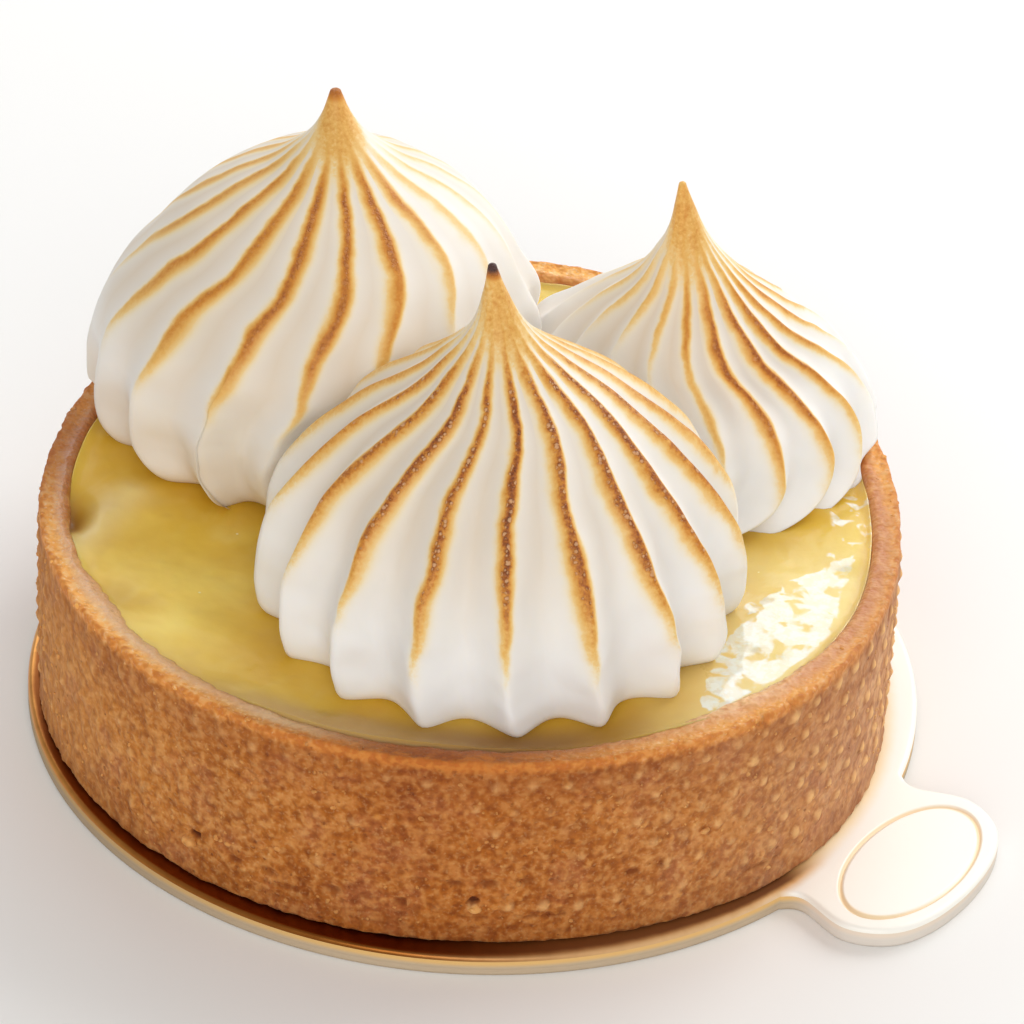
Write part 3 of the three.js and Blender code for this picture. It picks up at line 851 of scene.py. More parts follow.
def makeCrust(material):
    bench = treeBench("ringBakedShell", {
        "Dot Height": crust["dotHeight"], "Rim Wave": crust["rimWave"],
        "Crumb Relief": crust["relief"], "Material": material})
    given = bench.given
    angle, radius, height = polarParts(bench.position().scaled(1 / mm))
    degrees = angle * perRadian
    around = bench.join(angle.cos() * radius, angle.sin() * radius, height)
    outer = radius.ramp(crust["radius"] - 1.2, crust["radius"] - 0.3)
    over = (crust["radius"] - radius) / crust["wall"]
    lip = height.ramp(18.9, 19.5)
    warp = bench.noise(around, 0.8, 2.0, 0.6) - 0.5
    apart, pick = bench.cells(around, 1.15)
    grains = apart.fade(0.1, 0.62) * pick.ramp(0.2, 1.0)
    lumps = bench.noise(around, 1.6, 2.0, 0.55) * 0.68 + grains * 0.42
    dots, pits = ringDots(bench, angle, height, warp)
    for at, holeHeight, halfWidth in crust["holes"]:
        across, along = (degrees - at) * (math.radians(1) * crust["radius"]), height - holeHeight
        away = (across * across * 0.7 + along * along * 2.6).sqrt() / halfWidth + warp * 1.6
        pits = pits.most(away.fade(0.5, 1.2) * 1.8)
    line = abs(height - crust["crease"] + warp * 0.7).fade(0.08, 0.34)
    line = line * bench.noise(around, 1.3, 1.0).ramp(0.4, 0.56)
    for at, halfWidth in crust["creased"]:
        there = abs(degrees - at + warp * 4).fade(halfWidth * 0.7, halfWidth)
        pits = pits.most(line * there * 0.8)
    smoother = 1 - 0.5 * bellAt(angle, -4, 38)  # where the ring slid off
    relief = ((lumps - 0.42) * smoother * given["Crumb Relief"]
              + (bench.noise(around, 3.5, 2.0) - 0.5) * 0.35)
    relief = relief + dots * given["Dot Height"] - pits * 0.26
    footCrumble = height.fade(0.1, 1.3) * outer * (bench.noise(around, 1.7, 3.0, 0.7) - 0.42) * 0.9
    chipped = bench.noise(around, 1.8, 2.0, 0.6).ramp(0.56, 0.7) * 0.2
    for at, halfWidth, depth in crust["chips"]:
        away = abs(wrappedFrom(angle, at) * perRadian)
        chipped = away.fade(halfWidth * 0.6, halfWidth) * depth + chipped
    chipped = chipped * (lip * outer)
    at, spread, depth = crust["slump"]
    slump = (((degrees - at + warp * 14) / spread).bell() * over.ramp(0.45, 0.95)
             * height.ramp(14.0, 17.5))
    out = (outOfRound(angle) * radius / crust["radius"] + relief * (height.ramp(0.2, 1.0) * outer)
           + footCrumble - slump * depth)
    at, spread, depth = crust["lapped"]
    lapped = (((degrees.wrap(-360.0, 0.0) - at) / spread).bell() * over.ramp(0.5, 1.0)
              * height.ramp(15.0, 18.0))
    out = out - lapped * (bench.noise(around, 4.0, 3.0, 0.55) - 0.36).most(0.0) * depth
    sway = lip * (bench.noise(around, 2.6, 2.0) - 0.5) * 0.35 * smoother
    newRadius = radius + out - chipped + sway
    wave = ((angle - math.radians(80)).cos() * 0.6 + (angle * 3 + 2.1).sin() * 0.3
            + (angle * 7).sin() * 0.1)
    rise = (height.ramp(crust["height"] * 0.6, crust["height"]) * wave * given["Rim Wave"]
            + lip * (bench.noise(around, 2.1, 3.0, 0.6) - 0.5) * 0.55 * smoother - chipped * 0.7)
    moved = bench.join(angle.cos() * newRadius, angle.sin() * newRadius,
                       height + rise + board["thickness"]).scaled(mm)
    filmed = ((degrees + 115) / 8).bell().most(((degrees + 140) / 20).bell() * 0.8)
    filmed = filmed * lip * (over + warp * 0.6).ramp(0.3, 0.6)
    # the mark at the front carries painted shade
    shape = bench.store(given["Geometry"], {
        "lumps": lumps, "dots": dots * outer, "pits": pits * outer, "up": height, "over": over,
        "moist": bellAt(angle, -92, 30), "filmed": filmed, "slump": slump})
    closeTree(bench, bench.reshape("GeometryNodeSetPosition", shape, Position=moved))
    return plainPiece("crustShell", bench,
                      turnedMesh("crustRows", crustProfile(), crust["columns"]))


def makeCrumbs(shell, material):  # loose grains baked onto the outer wall and lip
    smallest, largest = crust["crumbSizes"]
    bench = treeBench("bakedOnCrumbs", {
        "Per Square": crust["crumbsPerSquare"] / mm ** 2, "Smallest": smallest * mm,
        "Largest": largest * mm, "Seed": crust["crumbSeed"], "Material": material})
    given = bench.given
    place = bench.position().scaled(1 / mm)
    angle, radius, height = polarParts(place)
    cardTop = board["thickness"]
    outer = (radius - outOfRound(angle)).ramp(crust["radius"] - 1.5, crust["radius"] - 0.8)
    outer = outer * height.ramp(cardTop + 0.3, cardTop + 1.0)
    strewn = bench.node("GeometryNodeDistributePointsOnFaces", {}, {
        "Mesh": given["Geometry"], "Seed": given["Seed"],
        "Density": given["Per Square"] * outer * bench.noise(place, 4.0, 2.0).ramp(0.35, 0.7)})

    def randomTo(most, seed):
        return bench.node("FunctionNodeRandomValue", {"data_type": "FLOAT"},
                          {"Min": 0.0, "Max": most, "Seed": seed})["Value"]

    def ball(segments, rings, radius):
        return bench.node("GeometryNodeMeshUVSphere", {}, {
            "Segments": segments, "Rings": rings, "Radius": radius})["Mesh"]

    size = (given["Smallest"] + (given["Largest"] - given["Smallest"])
            * randomTo(1.0, given["Seed"]) ** 3.0)
    grains = bench.node("GeometryNodeInstanceOnPoints", {}, {
        "Points": strewn["Points"], "Instance": ball(8, 5, 1.0), "Rotation": strewn["Rotation"],
        "Scale": bench.join(size, size * 0.8, size * 0.6)})["Instances"]
    grains = bench.node("GeometryNodeRotateInstances", {}, {
        "Instances": grains,
        "Rotation": bench.join(0.0, 0.0, randomTo(fullTurn, given["Seed"] + 1))})["Instances"]
    shapes = [bench.reshape("GeometryNodeRealizeInstances", grains)]
    for at, stuckHeight, halfWidth in crust["stuck"]:
        out = sum(push * math.exp(-((at - dent) / spread) ** 2)
                  for dent, push, spread in crust["dents"])
        out += crust["radius"] + 0.15
        turned = math.radians(at)
        shapes.append(bench.reshape(
            "GeometryNodeTransform", ball(14, 9, halfWidth * mm), Rotation=(0.0, 0.0, turned),
            Scale=(0.7, 1.2, 0.75),
            Translation=(out * math.cos(turned) * mm, out * math.sin(turned) * mm,
                         (stuckHeight + cardTop) * mm)))
    shape = bench.reshape("GeometryNodeJoinGeometry", shapes[::-1])
    normal = bench.node("GeometryNodeInputNormal")["Normal"]
    bump = normal.scaled((bench.noise(place, 0.35, 1.0) - 0.5) * (0.3 * mm))
    shape = bench.reshape("GeometryNodeSetPosition", shape, Offset=bump)
    # the crumbs' dots value gives them part of the dots' painted highlight
    shape = bench.store(shape, {"lumps": 0.75, "up": height - cardTop, "over": 0.3, "dots": 0.45})
    closeTree(bench, shape)
    return plainPiece("bakedOnCrumbs", bench, shell.data.copy())


curd = {
    "level": 18.8,
    "sunk": 0.1,  # how far the flat top lies under its level before the marks
    "humpHeight": 0.55,
    "folds": [(55, 16.5, 0.8, 0.25), (-27, 16, 2, 0.18)],  # across, width, phase, share
    "climb": 0.1,
    "climbWidth": 3.0,
    "hollow": (186.5, 4.6, 1.7),  # a hollow by the wall, painted dark as shade: at, spread, depth
    "dip": (-19.5, -4.5, 8.5, 1.4),  # where the front kiss sits lower: x, y, spread, depth
    "tongue": ((-35.4, -9.6), (-31.4, -0.8), 1.9, 0.55),  # thick lap: from, to, half width, height
    "pale": [(-26.2, -20.6, 4.4, 0.75), (-28.9, -12.2, 4, 0.4),
             (-22.6, -13.6, 4.5, 0.5)],  # painted light on a slight rise: x, y, spread, share
    "deep": [(-30.8, -17, 2.6, 0.5), (-21.9, -18.2, 2.2, 0.3),
             (-34.6, -2.5, 3.2, 0.45)],  # painted shade in a slight dip
    "wet": (-31, 22, 28.7, 36.9),  # a glossy skin carrying a painted reflection of the window: at, spread, from and to which distance out
    "clearance": 0.02,  # between the curd and the shell's floor
    "columns": 480,
    "rings": 130,
    "ringsCrowd": 1.15,  # how much closer the rings are at the wall
    "tints": {
        "set": (226, 180, 48), "setLight": (244, 208, 86), "smearPale": (246, 222, 132),
        "smearDark": (204, 152, 32), "choppy": (238, 212, 104), "nearKiss": (198, 146, 12),
        "pale": (255, 228, 118), "deep": (190, 144, 0), "thin": (130, 84, 40),
        "hollow": (150, 82, 0), "film": (190, 152, 98), "tongue": (244, 220, 158),
        "bubble": (255, 246, 206), "haze": (240, 226, 178), "skin": (226, 230, 220),
        "brink": (236, 184, 104),
    },
}


def spot(x, y, mark):  # a soft round patch
    middleX, middleY, spread, share = mark
    return (length(x - middleX, y - middleY) / spread).bell() * share


def spots(x, y, marks):
    shade = 0
    for mark in marks:
        shade = spot(x, y, mark) + shade
    return shade


def curdMaterial():
    bench = materialBench("lemonCurd", curd["tints"])
    x, y, _ = bench.place.split()
    angle, radius, _ = polarParts(bench.place)
    degrees = angle * perRadian
    cloud = bench.noise(bench.place, 10.0, 3.0, 0.5, 0.3)
    turned = bench.node("ShaderNodeVectorRotate", {"rotation_type": "Z_AXIS"},
                        {"Vector": bench.place, "Angle": math.radians(35)})["Vector"]
    smear = bench.noise(turned.vector("MULTIPLY", (1.0, 0.6, 1.0)), 4.0, 2.0, 0.5, 0.5)
    fine = bench.noise(bench.place, 1.1, 3.0, 0.6)
    choppy = bench.attribute("choppy")
    # pale specks over the curd: painted glints
    apart, pick = bench.cells(bench.place, 2.6)
    bubbles = apart.fade(0.08, 0.17) * pick.ramp(0.66, 0.7)
    # the glossy skin and its painted reflection end raggedly towards the middle and have worn off
    # along the wall
    at, spread, nearest, furthest = curd["wet"]
    away = (degrees - at) / spread
    loose = radius + (bench.noise(bench.place, 3.2, 3.0, 0.5) - 0.5) * 4.5
    skin = (loose - nearest - away * away * 6.0).ramp(0.0, 0.35) * abs(away).fade(1.05, 1.2)
    worn = radius + (loose - radius) * 0.35 - furthest + (degrees + 27).ramp(0.0, 8.0) * 1.7
    skin = skin * worn.fade(-0.35, 0.0)
    torn = bench.noise(bench.place, 2.0, 2.0, 0.5, 0.5)
    bits = ((degrees + 13).ramp(0.0, 3.0) * (degrees - 5).fade(0.0, 3.0)
            * (radius - 32.5).ramp(0.0, 0.5))
    glossy = (skin * torn.ramp(0.36, 0.48)).most(bits * torn.ramp(0.52, 0.6))
    inLee = (x - radius * 0.1).fade(20.0, 24.0)  # where a kiss stands before the window
    # more painted reflection where a kiss blocks the real one
    paintedReflectionShare = 0.46 + 0.3 * fine.ramp(0.4, 0.6) + 0.14 * inLee
    brink = (radius - crust["radius"] + crust["wall"] - outOfRound(angle)).ramp(-1.4, -0.1)
    colour = bench.mix(cloud.ramp(0.28, 0.72), "set", "setLight")
    colour = bench.coats(
        colour,
        (smear.ramp(0.5, 0.8) * 0.35, "smearPale"),
        (smear.fade(0.2, 0.45) * 0.4, "smearDark"),
        # paler under the window: painted light
        (choppy.ramp(0.3, 1.0) * 0.5, "choppy"),
        # darker round the kisses' feet: painted shade
        (bench.attribute("nearKiss") * 0.6, "nearKiss"),
        # spots of painted light and of painted shade
        (bench.attribute("pale").least(1.0), "pale"),
        (bench.attribute("deep").least(1.0), "deep"),
        # darker in front of the front kiss: partly a thin layer, partly painted shade of the kiss
        (bench.attribute("thin") * 0.9, "thin"),
        # dark in the hollow by the wall: painted shade
        (bench.attribute("hollow") * 0.85, "hollow"),
        (bench.attribute("film") * 0.75, "film"),
        (bench.attribute("tongue") * 0.55, "tongue"),
        # the painted glints
        (bubbles * 0.75, "bubble"),
        # paler and duller on the window side: a painted sheen
        (x.ramp(12.0, 24.0) * y.fade(-10.0, 0.0) * 0.36, "haze"),
        # a painted reflection of the window on the glossy skin
        (glossy * paintedReflectionShare, "skin"),
        (brink * choppy * 0.6, "brink"))
    ripple = bench.noise(bench.place, 2.2, 3.0, 0.5) * choppy
    return surface(bench, {
        "Base Color": colour, "Roughness": 0.34 - 0.2 * choppy + 0.08 * fine,
        "Subsurface Weight": 0.35, "Subsurface Radius": (1.0, 0.7, 0.2),
        "Subsurface Scale": 0.002, "Coat Weight": 0.03 + 0.5 * glossy, "Coat Roughness": 0.1,
        "Coat IOR": 3.0, "Specular IOR Level": 0.3}, [(ripple, 0.08), (fine, 0.02)])


def curdProfile():
    edge, level = crust["radius"] - crust["wall"], curd["level"]
    bottom, corner = crust["floor"] + curd["clearance"], crust["floorCorner"]
    rows = [(0.0, bottom), (edge - corner, bottom), (edge, bottom + corner), (edge, level - 1)]
    for step in range(curd["rings"]):
        rows.append((edge * (1 - (step / curd["rings"]) ** curd["ringsCrowd"]), level))
    return rows + [(0.0, level)]


def makeCurd(material):
    bench = treeBench("setCurd", {
        "Hump Height": curd["humpHeight"], "Climb": curd["climb"],
        "Climb Width": curd["climbWidth"], "Hollow Depth": float(curd["hollow"][2]),
        "Tongue Height": float(curd["tongue"][3]), "Material": material})
    given = bench.given
    edge = crust["radius"] - crust["wall"]
    place = bench.position().scaled(1 / mm)
    x, y, _ = place.split()
    angle, radius, height = polarParts(place)
    isTop = height.ramp(curd["level"] - 0.5, curd["level"] - 0.1)
    marks = 0.6
    for across, width, phase, share in curd["folds"]:
        turn = math.radians(across)
        along = x * math.cos(turn) + y * math.sin(turn)
        marks = (along * (fullTurn / width) + phase).sin() * share + marks
    nearWall = ((radius - edge + given["Climb Width"]) / given["Climb Width"]).ramp(0.0, 1.0)
    hollow = wrappedBell(angle, *curd["hollow"][:2]) * nearWall
    (startX, startY), (endX, endY), halfWidth, _ = curd["tongue"]
    spanX, spanY = endX - startX, endY - startY
    reached = ((x - startX) * spanX + (y - startY) * spanY) / (spanX ** 2 + spanY ** 2)
    reached = reached.clamp(0.0, 1.0)
    off = length(x - startX - reached * spanX, y - startY - reached * spanY)
    tongue = (off / halfWidth).bell()
    lumps = bench.noise(place, 5.0, 3.0, 0.5) - 0.5
    ripple = bench.noise(place, 2.4, 3.0, 0.5) - 0.5
    choppy = (x + y * 0.3).ramp(8.0, 20.0) * 0.85 + 0.15  # less still under the window
    film = wrappedBell(angle, -112, 20) * (radius + lumps * 2.5 - edge).ramp(-3.4, -0.4)
    # spots of painted light and of painted shade, which also raise and sink the curd a little
    pale = spots(x + lumps * 5, y + ripple * 4, curd["pale"])
    deep = spots(x + ripple * 5, y + lumps * 3, curd["deep"])
    brink = (radius - edge + 1.0).line(0.0, 1.0)  # the very edge clings to the wall
    lap = wrappedBell(angle, -142, 30)
    relief = (marks * given["Hump Height"] + nearWall * given["Climb"]
              - hollow * given["Hollow Depth"] + brink * brink * (0.3 - lap * 0.25)
              + (pale - deep) * 0.25 * (1 - brink * lap) + tongue * given["Tongue Height"]
              + lumps * 0.5 + ripple * 0.3 * choppy + film * 0.45 - spot(x, y, curd["dip"]))
    # how near each point is to a kiss's foot, for the painted shade there
    near = 0
    for kiss in kisses.values():
        reach = length(x - kiss["middle"][0], y - kiss["middle"][1]) - kiss["radii"][0]
        near = reach.fade(-1.0, 5.5).most(near)
    # in front of the front kiss: partly a thin layer, partly painted shade of the kiss
    thin = bellAt(angle, -84, 26) * (radius - edge).ramp(-6.0, -1.0)
    newRadius = radius + outOfRound(angle) * radius / crust["radius"]
    moved = bench.join(angle.cos() * newRadius, angle.sin() * newRadius,
                       height - curd["sunk"] + isTop * relief + board["thickness"]).scaled(mm)
    shape = bench.store(given["Geometry"], {
        "nearKiss": near, "film": film, "tongue": tongue, "hollow": hollow,
        "thin": thin, "choppy": choppy, "pale": pale, "deep": deep})
    closeTree(bench, bench.reshape("GeometryNodeSetPosition", shape, Position=moved))
    return plainPiece("lemonCurd", bench, turnedMesh("curdRows", curdProfile(), curd["columns"]))


nozzle = {
    "teeth": 18,
    "crestRound": 0.11,
    "columnsPerTooth": 20,
    "rows": 170,
    "underside": 0.04,  # share of the rows under the foot
    "cap": 0.97,  # share from which the rows round off the tip
    "capHeight": 0.3,
    "unevenness": 0.012,
    "waver": [(1.4, 3.5), (3.4, 8.0)],  # lumps of it round and up the kiss: slow, then quick
    "seat": 0.15,  # how far the foot sinks into the curd
    "stripeReach": (0.5, 0.024),  # how far gold spreads from a crest: at the tip, more per mm out
    "stripeFade": 0.34,
    "tints": {
        "white": (240, 239, 237), "whiteLight": (246, 245, 243), "cream": (229, 214, 194),
        "frothRing": (124, 62, 28), "froth": (232, 186, 142), "burnt": (78, 48, 44),
    },
    "toast": [(0.0, (248, 238, 214)), (0.14, (242, 216, 158)), (0.32, (232, 182, 98)),
              (0.52, (210, 138, 48)), (0.72, (172, 96, 32)), (0.9, (126, 66, 30)),
              (1.0, (98, 50, 26))],
}
radiusHeights = [0, 0.1, 0.22, 0.35, 0.5, 0.62, 0.72, 0.82, 0.92, 1]
quarters = [0, 0.25, 0.5, 0.75, 1]
eighths = [step / 8 for step in range(9)]  # directions, from the left (-180) round by the front
kisses = {
    "meringue_front": {
        "middle": (2.5, -13.8), "height": 35.8,
        "radii": [21.3, 22, 21.6, 19.5, 15, 10, 5.8, 2.5, 1.05, 0.32],
        "lean": [(0, 0), (0.2, 0.4), (0.3, 0.3), (-0.7, 0), (-1.9, -0.3)],
        "turn": [0, -3, -4, 4, 2], "firstRidge": -87, "crowding": (-0.03, 0.08),
        "depth": [0.14, 0.14, 0.115, 0.055, 0.01], "footRound": 1.3,
        "torch": [0.65, 0.92, 1, 1, 0.85, 0.5, 0.45, 0.5, 0.65], "stripeWidth": 0.92,
        "stripeFoot": [0.21, 0.2, 0.15, 0.16, 0.19, 0.28, 0.33, 0.28, 0.21],
        "goldTip": 4.3, "flameFrom": -72, "facing": -100, "bubbly": 1.0, "burnt": 1.0,
        "creamFoot": 0.0, "softFoot": 0.13,
        "ridges": [1, 1, 1, 1, 1, 0.8, 0.6, 0.8, 1], "hook": (0, 10, 0), "seed": 3,
    },
    "meringue_left": {
        "middle": (-17.4, 16.5), "height": 33.0,
        "radii": [18.8, 20.2, 20.8, 20.5, 17.6, 14.7, 10.4, 4.9, 1.6, 0.4],
        "lean": [(0, 0), (2, -0.9), (3.3, -1.6), (3.7, -0.5), (3.1, 1.8)],
        "turn": [-10, -23, -22, -11, -30], "firstRidge": -93, "crowding": (0.01, 0.15),
        "depth": [0.14, 0.13, 0.055, 0.02, 0.005], "footRound": 2.4,
        "torch": [0.62, 0.82, 0.92, 0.78, 0.34, 0.3, 0.35, 0.48, 0.62], "stripeWidth": 1.1,
        "stripeFoot": [0.37, 0.28, 0.3, 0.5, 0.52, 0.48, 0.42, 0.4, 0.37],
        "goldTip": 4.7, "flameFrom": -84, "facing": -90, "bubbly": 0.2, "burnt": 0.7,
        "creamFoot": 0.8, "softFoot": 0.34,
        "ridges": [0.1, 0.7, 1, 1, 0.8, 0.3, 0.1, 0, 0.1], "hook": (-94, 16, -5), "seed": 11,
    },
    "meringue_right": {
        "middle": (18.5, 13.5), "height": 28.0,
        "radii": [19.2, 18.7, 16.8, 13, 8.7, 5.2, 3.2, 1.7, 0.85, 0.28],
        "lean": [(0, 0), (0, 1.5), (0.4, 0.6), (-0.1, -0.1), (-1, -0.4)],
        "turn": [0, 27, 13, 11, 7], "firstRidge": -114, "crowding": (-0.21, 0.01),
        "depth": [0.14, 0.14, 0.11, 0.05, 0.01], "footRound": 2.2,
        "torch": [0.45, 0.7, 0.86, 1, 0.72, 0.5, 0.42, 0.4, 0.45], "stripeWidth": 0.95,
        "stripeFoot": [0.38, 0.44, 0.33, 0.07, 0.18, 0.24, 0.3, 0.36, 0.38],
        "goldTip": 4.0, "flameFrom": -92, "facing": -105, "bubbly": 0.3, "burnt": 0.35,
        "creamFoot": 0.15, "softFoot": 0.3,
        "ridges": [0.8, 1, 1, 0.9, 0.5, 0.3, 0.2, 0.4, 0.8], "hook": (0, 10, 0), "seed": 23,
    },
}


def meringueMaterial():
    bench = materialBench("torchedMeringue", nozzle["tints"])
    torch, reach, gold, burnt, facing, cream = (bench.attribute(name) for name in (
        "torch", "reach", "gold", "burnt", "facing", "cream"))
    bubbly = bench.attribute("bubbly")  # how far the crests have frothed and speckled
    crest = bench.attribute("crest") * (1 - 2 * bench.attribute("side").below(0.0))
    fine = bench.noise(bench.place, 0.4, 3.0, 0.6)
    ragged = bench.noise(bench.place, 1.7, 3.0, 0.55)
    soft = bench.noise(bench.place, 6.0, 2.0)
    white = bench.mix(soft.ramp(0.3, 0.7), "white", "whiteLight")
    # warm beige in the valleys and at the foot: painted shade and painted bounce light
    white = bench.mix(cream, white, "cream")
    wavered = crest + (ragged - 0.5) * 0.55  # mm from the nearest ridge line, negative on its left
    # the gold feathers out towards the flame and stops short on the side in its shade
    lit = (wavered.ramp(-0.2, 0.2) * 2 - 1) * facing
    wavered = wavered * (1.05 - 0.42 * lit) / reach
    core = (wavered * 1.9).bell() * (0.34 + (fine - 0.5) * (0.3 + 0.6 * bubbly))
    stripe = torch * (core + wavered.bell() * (0.43 + (ragged - 0.5) * 0.25))
    cone = gold * (0.36 + (fine - 0.5) * 0.5 + (ragged - 0.5) * 0.25)
    toast = stripe.smoothMost(cone, 0.12).most(burnt.ramp(0.15, 0.75) * 0.66).clamp(0.0, 1.0)
    browned = bench.node("ShaderNodeValToRGB", {"stops": nozzle["toast"]}, [toast])["Color"]
    bent = bench.place.vector("ADD", bench.join(fine, ragged, soft).scaled(0.35))
    froth, pick = bench.cells(bent, 0.42)
    froth = froth - pick.ramp(0.2, 1.0) * 0.14
    bubbles = froth.fade(0.02, 0.12) * pick.ramp(0.2, 0.34) * toast.ramp(0.46, 0.6)
    bubbles = bubbles * burnt.fade(0.05, 0.2) * bubbly
    rings = froth.ramp(0.08, 0.14) * froth.fade(0.16, 0.26) * toast.ramp(0.5, 0.7)
    colour = bench.coats(
        white,
        (toast.line(0.02, 0.2), browned),
        (rings * bubbly * 0.2, "frothRing"),
        (bubbles * 0.62, "froth"),
        (burnt.ramp(0.66, 0.92), "burnt"))
    relief = bubbles * 0.1 - rings * 0.05 + (fine - 0.5) * toast.ramp(0.2, 0.7) * 0.12
    return surface(bench, {
        "Base Color": colour, "Roughness": 0.52 - 0.12 * toast, "Subsurface Weight": 0.25,
        "Subsurface Radius": (1.0, 0.85, 0.65), "Subsurface Scale": 0.0015,
        "Specular IOR Level": 0.4}, [(relief, 1.0), (soft, 0.15)])


def section(kiss, height):  # middle and radius of a kiss at a height above its foot
    up = height / kiss["height"]
    x = up.curve(quarters, [lean[0] for lean in kiss["lean"]]) + kiss["middle"][0]
    y = up.curve(quarters, [lean[1] for lean in kiss["lean"]]) + kiss["middle"][1]
    return x, y, up.curve(radiusHeights, kiss["radii"])


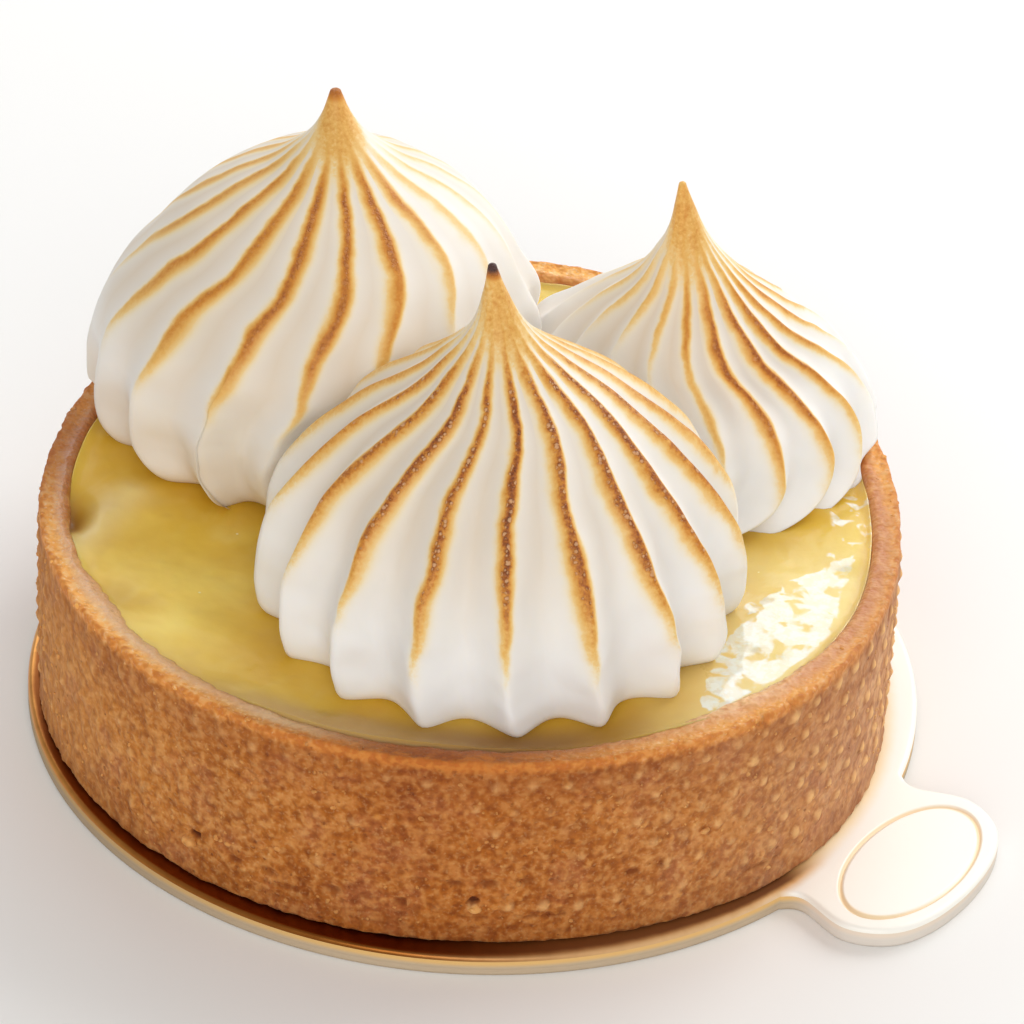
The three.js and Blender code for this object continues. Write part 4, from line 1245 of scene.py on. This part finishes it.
def makeKiss(name, pieceName, material):
    kiss = kisses[name]
    bench = treeBench(pieceName + "Piping", {
        "Teeth": nozzle["teeth"], "Crest Round": nozzle["crestRound"],
        "Foot Round": kiss["footRound"], "Height": kiss["height"],
        "Columns per Tooth": nozzle["columnsPerTooth"], "Rows": nozzle["rows"],
        "Unevenness": nozzle["unevenness"], "Gold Tip": kiss["goldTip"], "Burnt": kiss["burnt"],
        "Soft Foot": kiss["softFoot"], "Seed": kiss["seed"], "Material": material})
    given = bench.given
    shape = bench.node("GeometryNodeMeshGrid", {}, {
        "Size X": 1.0, "Size Y": 1.0,
        "Vertices X": given["Teeth"] * given["Columns per Tooth"] + 1,
        "Vertices Y": given["Rows"] + 1})["Mesh"]
    across, along, _ = bench.position().split()
    turn = across + 0.5
    row = along + 0.5
    underside = row.line(0.0, nozzle["underside"])  # from the middle of the underside to its edge
    up = row.line(nozzle["underside"], nozzle["cap"])
    cap = row.line(nozzle["cap"], 1.0)
    height = up * (given["Height"] - nozzle["capHeight"])
    middleX, middleY, radius = section(kiss, height)
    # ridges and valleys of the star nozzle, fading out towards the tip
    phase = turn * given["Teeth"]
    ridge = abs((phase * math.pi).sin())
    crestRound = given["Crest Round"] + given["Soft Foot"] * up.fade(0.0, 0.16)
    softRidge = length(ridge, crestRound) - crestRound
    even = turn * fullTurn + math.radians(kiss["firstRidge"])
    slow, quick = (bench.join(even.cos() * size, even.sin() * size, up * rise + given["Seed"])
                   for size, rise in nozzle["waver"])
    wobble = (bench.noise(slow, 1.0, 1.0) - 0.5) * given["Unevenness"] * 6
    wobble = wobble + (bench.noise(quick, 1.0, 1.0) - 0.5) * given["Unevenness"] * 7
    sine, cosine = kiss["crowding"]
    around = (even + even.sin() * sine + even.cos() * cosine + wobble
              + up.curve(quarters, [math.radians(t) for t in kiss["turn"]]))
    hookAt, hookSpread, hookTurn = kiss["hook"]  # a ridge whose end is dragged round at the foot
    hooked = bellAt(around, hookAt, hookSpread) * up.fade(0.12, 0.5)
    around = around + hooked * math.radians(hookTurn)
    tuck = (1 - height / given["Foot Round"]).most(0.0)
    tuckIn = (1 - (1 - tuck * tuck).most(0.0).sqrt()) * given["Foot Round"] * 0.8
    swell = 1 + (bench.noise(slow, 0.6, 1.0) - 0.5) * given["Unevenness"] * 1.5
    direction = (around / fullTurn + 0.5).wrap(0.0, 1.0)
    deep = direction.curve(eighths, kiss["ridges"])
    deep = deep + (1 - deep) * up.fade(0.08, 0.28)
    out = radius * (1 - up.curve(quarters, kiss["depth"]) * deep * softRidge) * swell - tuckIn
    out = out * underside * (1 - cap * cap).most(0.0).sqrt()
    x = middleX + around.cos() * out
    y = middleY + around.sin() * out
    # where two kisses press together each keeps to its own side
    for other in kisses.values():
        if other is kiss:
            continue
        otherX, otherY, otherRadius = section(other, height)
        gapX, gapY = otherX - middleX, otherY - middleY
        apart = length(gapX, gapY)
        share = (apart * apart + radius * radius - otherRadius * otherRadius) / (apart * 2)
        normalX, normalY = gapX / apart, gapY / apart
        towards = (x - middleX) * normalX + (y - middleY) * normalY
        kept = towards.smoothLeast(share - 0.03, 2.2)
        back = (towards - kept) * height.below(other["height"])
        x, y = x - normalX * back, y - normalY * back
    # under the top of the rim the kiss stays inside the wall
    angle, distance, _ = polarParts(bench.join(x, y, 0.0))
    inner = crust["radius"] - crust["wall"]
    limit = (outOfRound(angle) / crust["radius"] + 1) * inner - 0.05
    overRim = height.ramp(1.0, 2.2)
    shrink = (limit / distance).least(1.0) * (1 - overRim) + overRim
    x, y = x * shrink, y * shrink
    seat = board["thickness"] + curd["level"] - nozzle["seat"]
    sunk = spot(x, y, curd["dip"]) * height.fade(0.0, 9.0)
    placed = bench.join(x, y, height + seat + cap * nozzle["capHeight"] - sunk).scaled(mm)
    # what the torch did: gold along each crest, a gold tip and its burnt point
    number = phase.round().wrap(0.0, float(nozzle["teeth"]))
    uneven = bench.draw(number, given["Seed"], 0.5)
    foot = direction.curve(eighths, kiss["stripeFoot"]) + (uneven - 0.5) * 0.05
    upTheStripe = ((up - foot) / nozzle["stripeFade"]).ramp(-0.24, 0.92)
    nearTip = radius.fade(2.0, 7.0)
    torch = direction.curve(eighths, kiss["torch"]) * (0.86 + 0.16 * uneven)
    flame = 0.5 + 0.5 * (around - math.radians(kiss["flameFrom"])).cos()  # 1 on the flame's side
    torch = torch * upTheStripe * (1 - (0.5 + 0.4 * (1 - flame)) * nearTip)
    atNozzle, perMillimetre = nozzle["stripeReach"]
    tipShare = radius / given["Gold Tip"]
    gold = (1.25 - tipShare) * 1.4 - (1 - flame) * 3.0 * tipShare ** 0.7
    below = given["Height"] - height - cap * nozzle["capHeight"]
    crest = phase.pingPong(0.5)
    # warm beige painted into the valleys and up the kiss, less on the window side: painted shade;
    # at the foot, painted warm bounce light from the curd
    cream = up.ramp(0.08, 0.5) * (0.4 + 0.6 * (crest * 2)) * (1 - 0.6 * bellAt(around, -15, 50))
    shape = bench.store(shape, {
        "crest": crest * radius * (fullTurn / nozzle["teeth"]),
        "side": (phase * fullTurn).sin(),
        "torch": torch,
        "reach": (radius * perMillimetre + atNozzle) * kiss["stripeWidth"]
                 * (0.6 + 0.4 * upTheStripe),
        "facing": ((math.radians(kiss["facing"]) - around).sin() * 2.2).clamp(-1.0, 1.0),
        "bubbly": kiss["bubbly"],
        "gold": gold.clamp(0.0, 1.0),
        "burnt": given["Burnt"] * (1 - below.line(0.2, 2.6)),
        "cream": cream.most(kiss["creamFoot"] * up.fade(0.0, 0.4)),
    })
    shape = bench.reshape("GeometryNodeSetPosition", shape, Position=placed)
    closeTree(bench, bench.reshape("GeometryNodeMergeByDistance", shape, Distance=tiny))
    piece = plainPiece(pieceName, bench)
    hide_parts(name)
    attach(piece, "root")


goldBoard = makeBoard()
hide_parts("gold_board")
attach(goldBoard, "root")
print("gold board made")

bakedCrust = crustMaterial()
crustShell = makeCrust(bakedCrust)
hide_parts("tart_shell")
bakedOnCrumbs = makeCrumbs(crustShell, bakedCrust)
for piece in (crustShell, bakedOnCrumbs):
    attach(piece, "root")

lemonCurd = makeCurd(curdMaterial())
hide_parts("lemon_curd")
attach(lemonCurd, "root")

torchedMeringue = meringueMaterial()
makeKiss("meringue_front", "frontKiss", torchedMeringue)
makeKiss("meringue_left", "leftKiss", torchedMeringue)
makeKiss("meringue_right", "rightKiss", torchedMeringue)
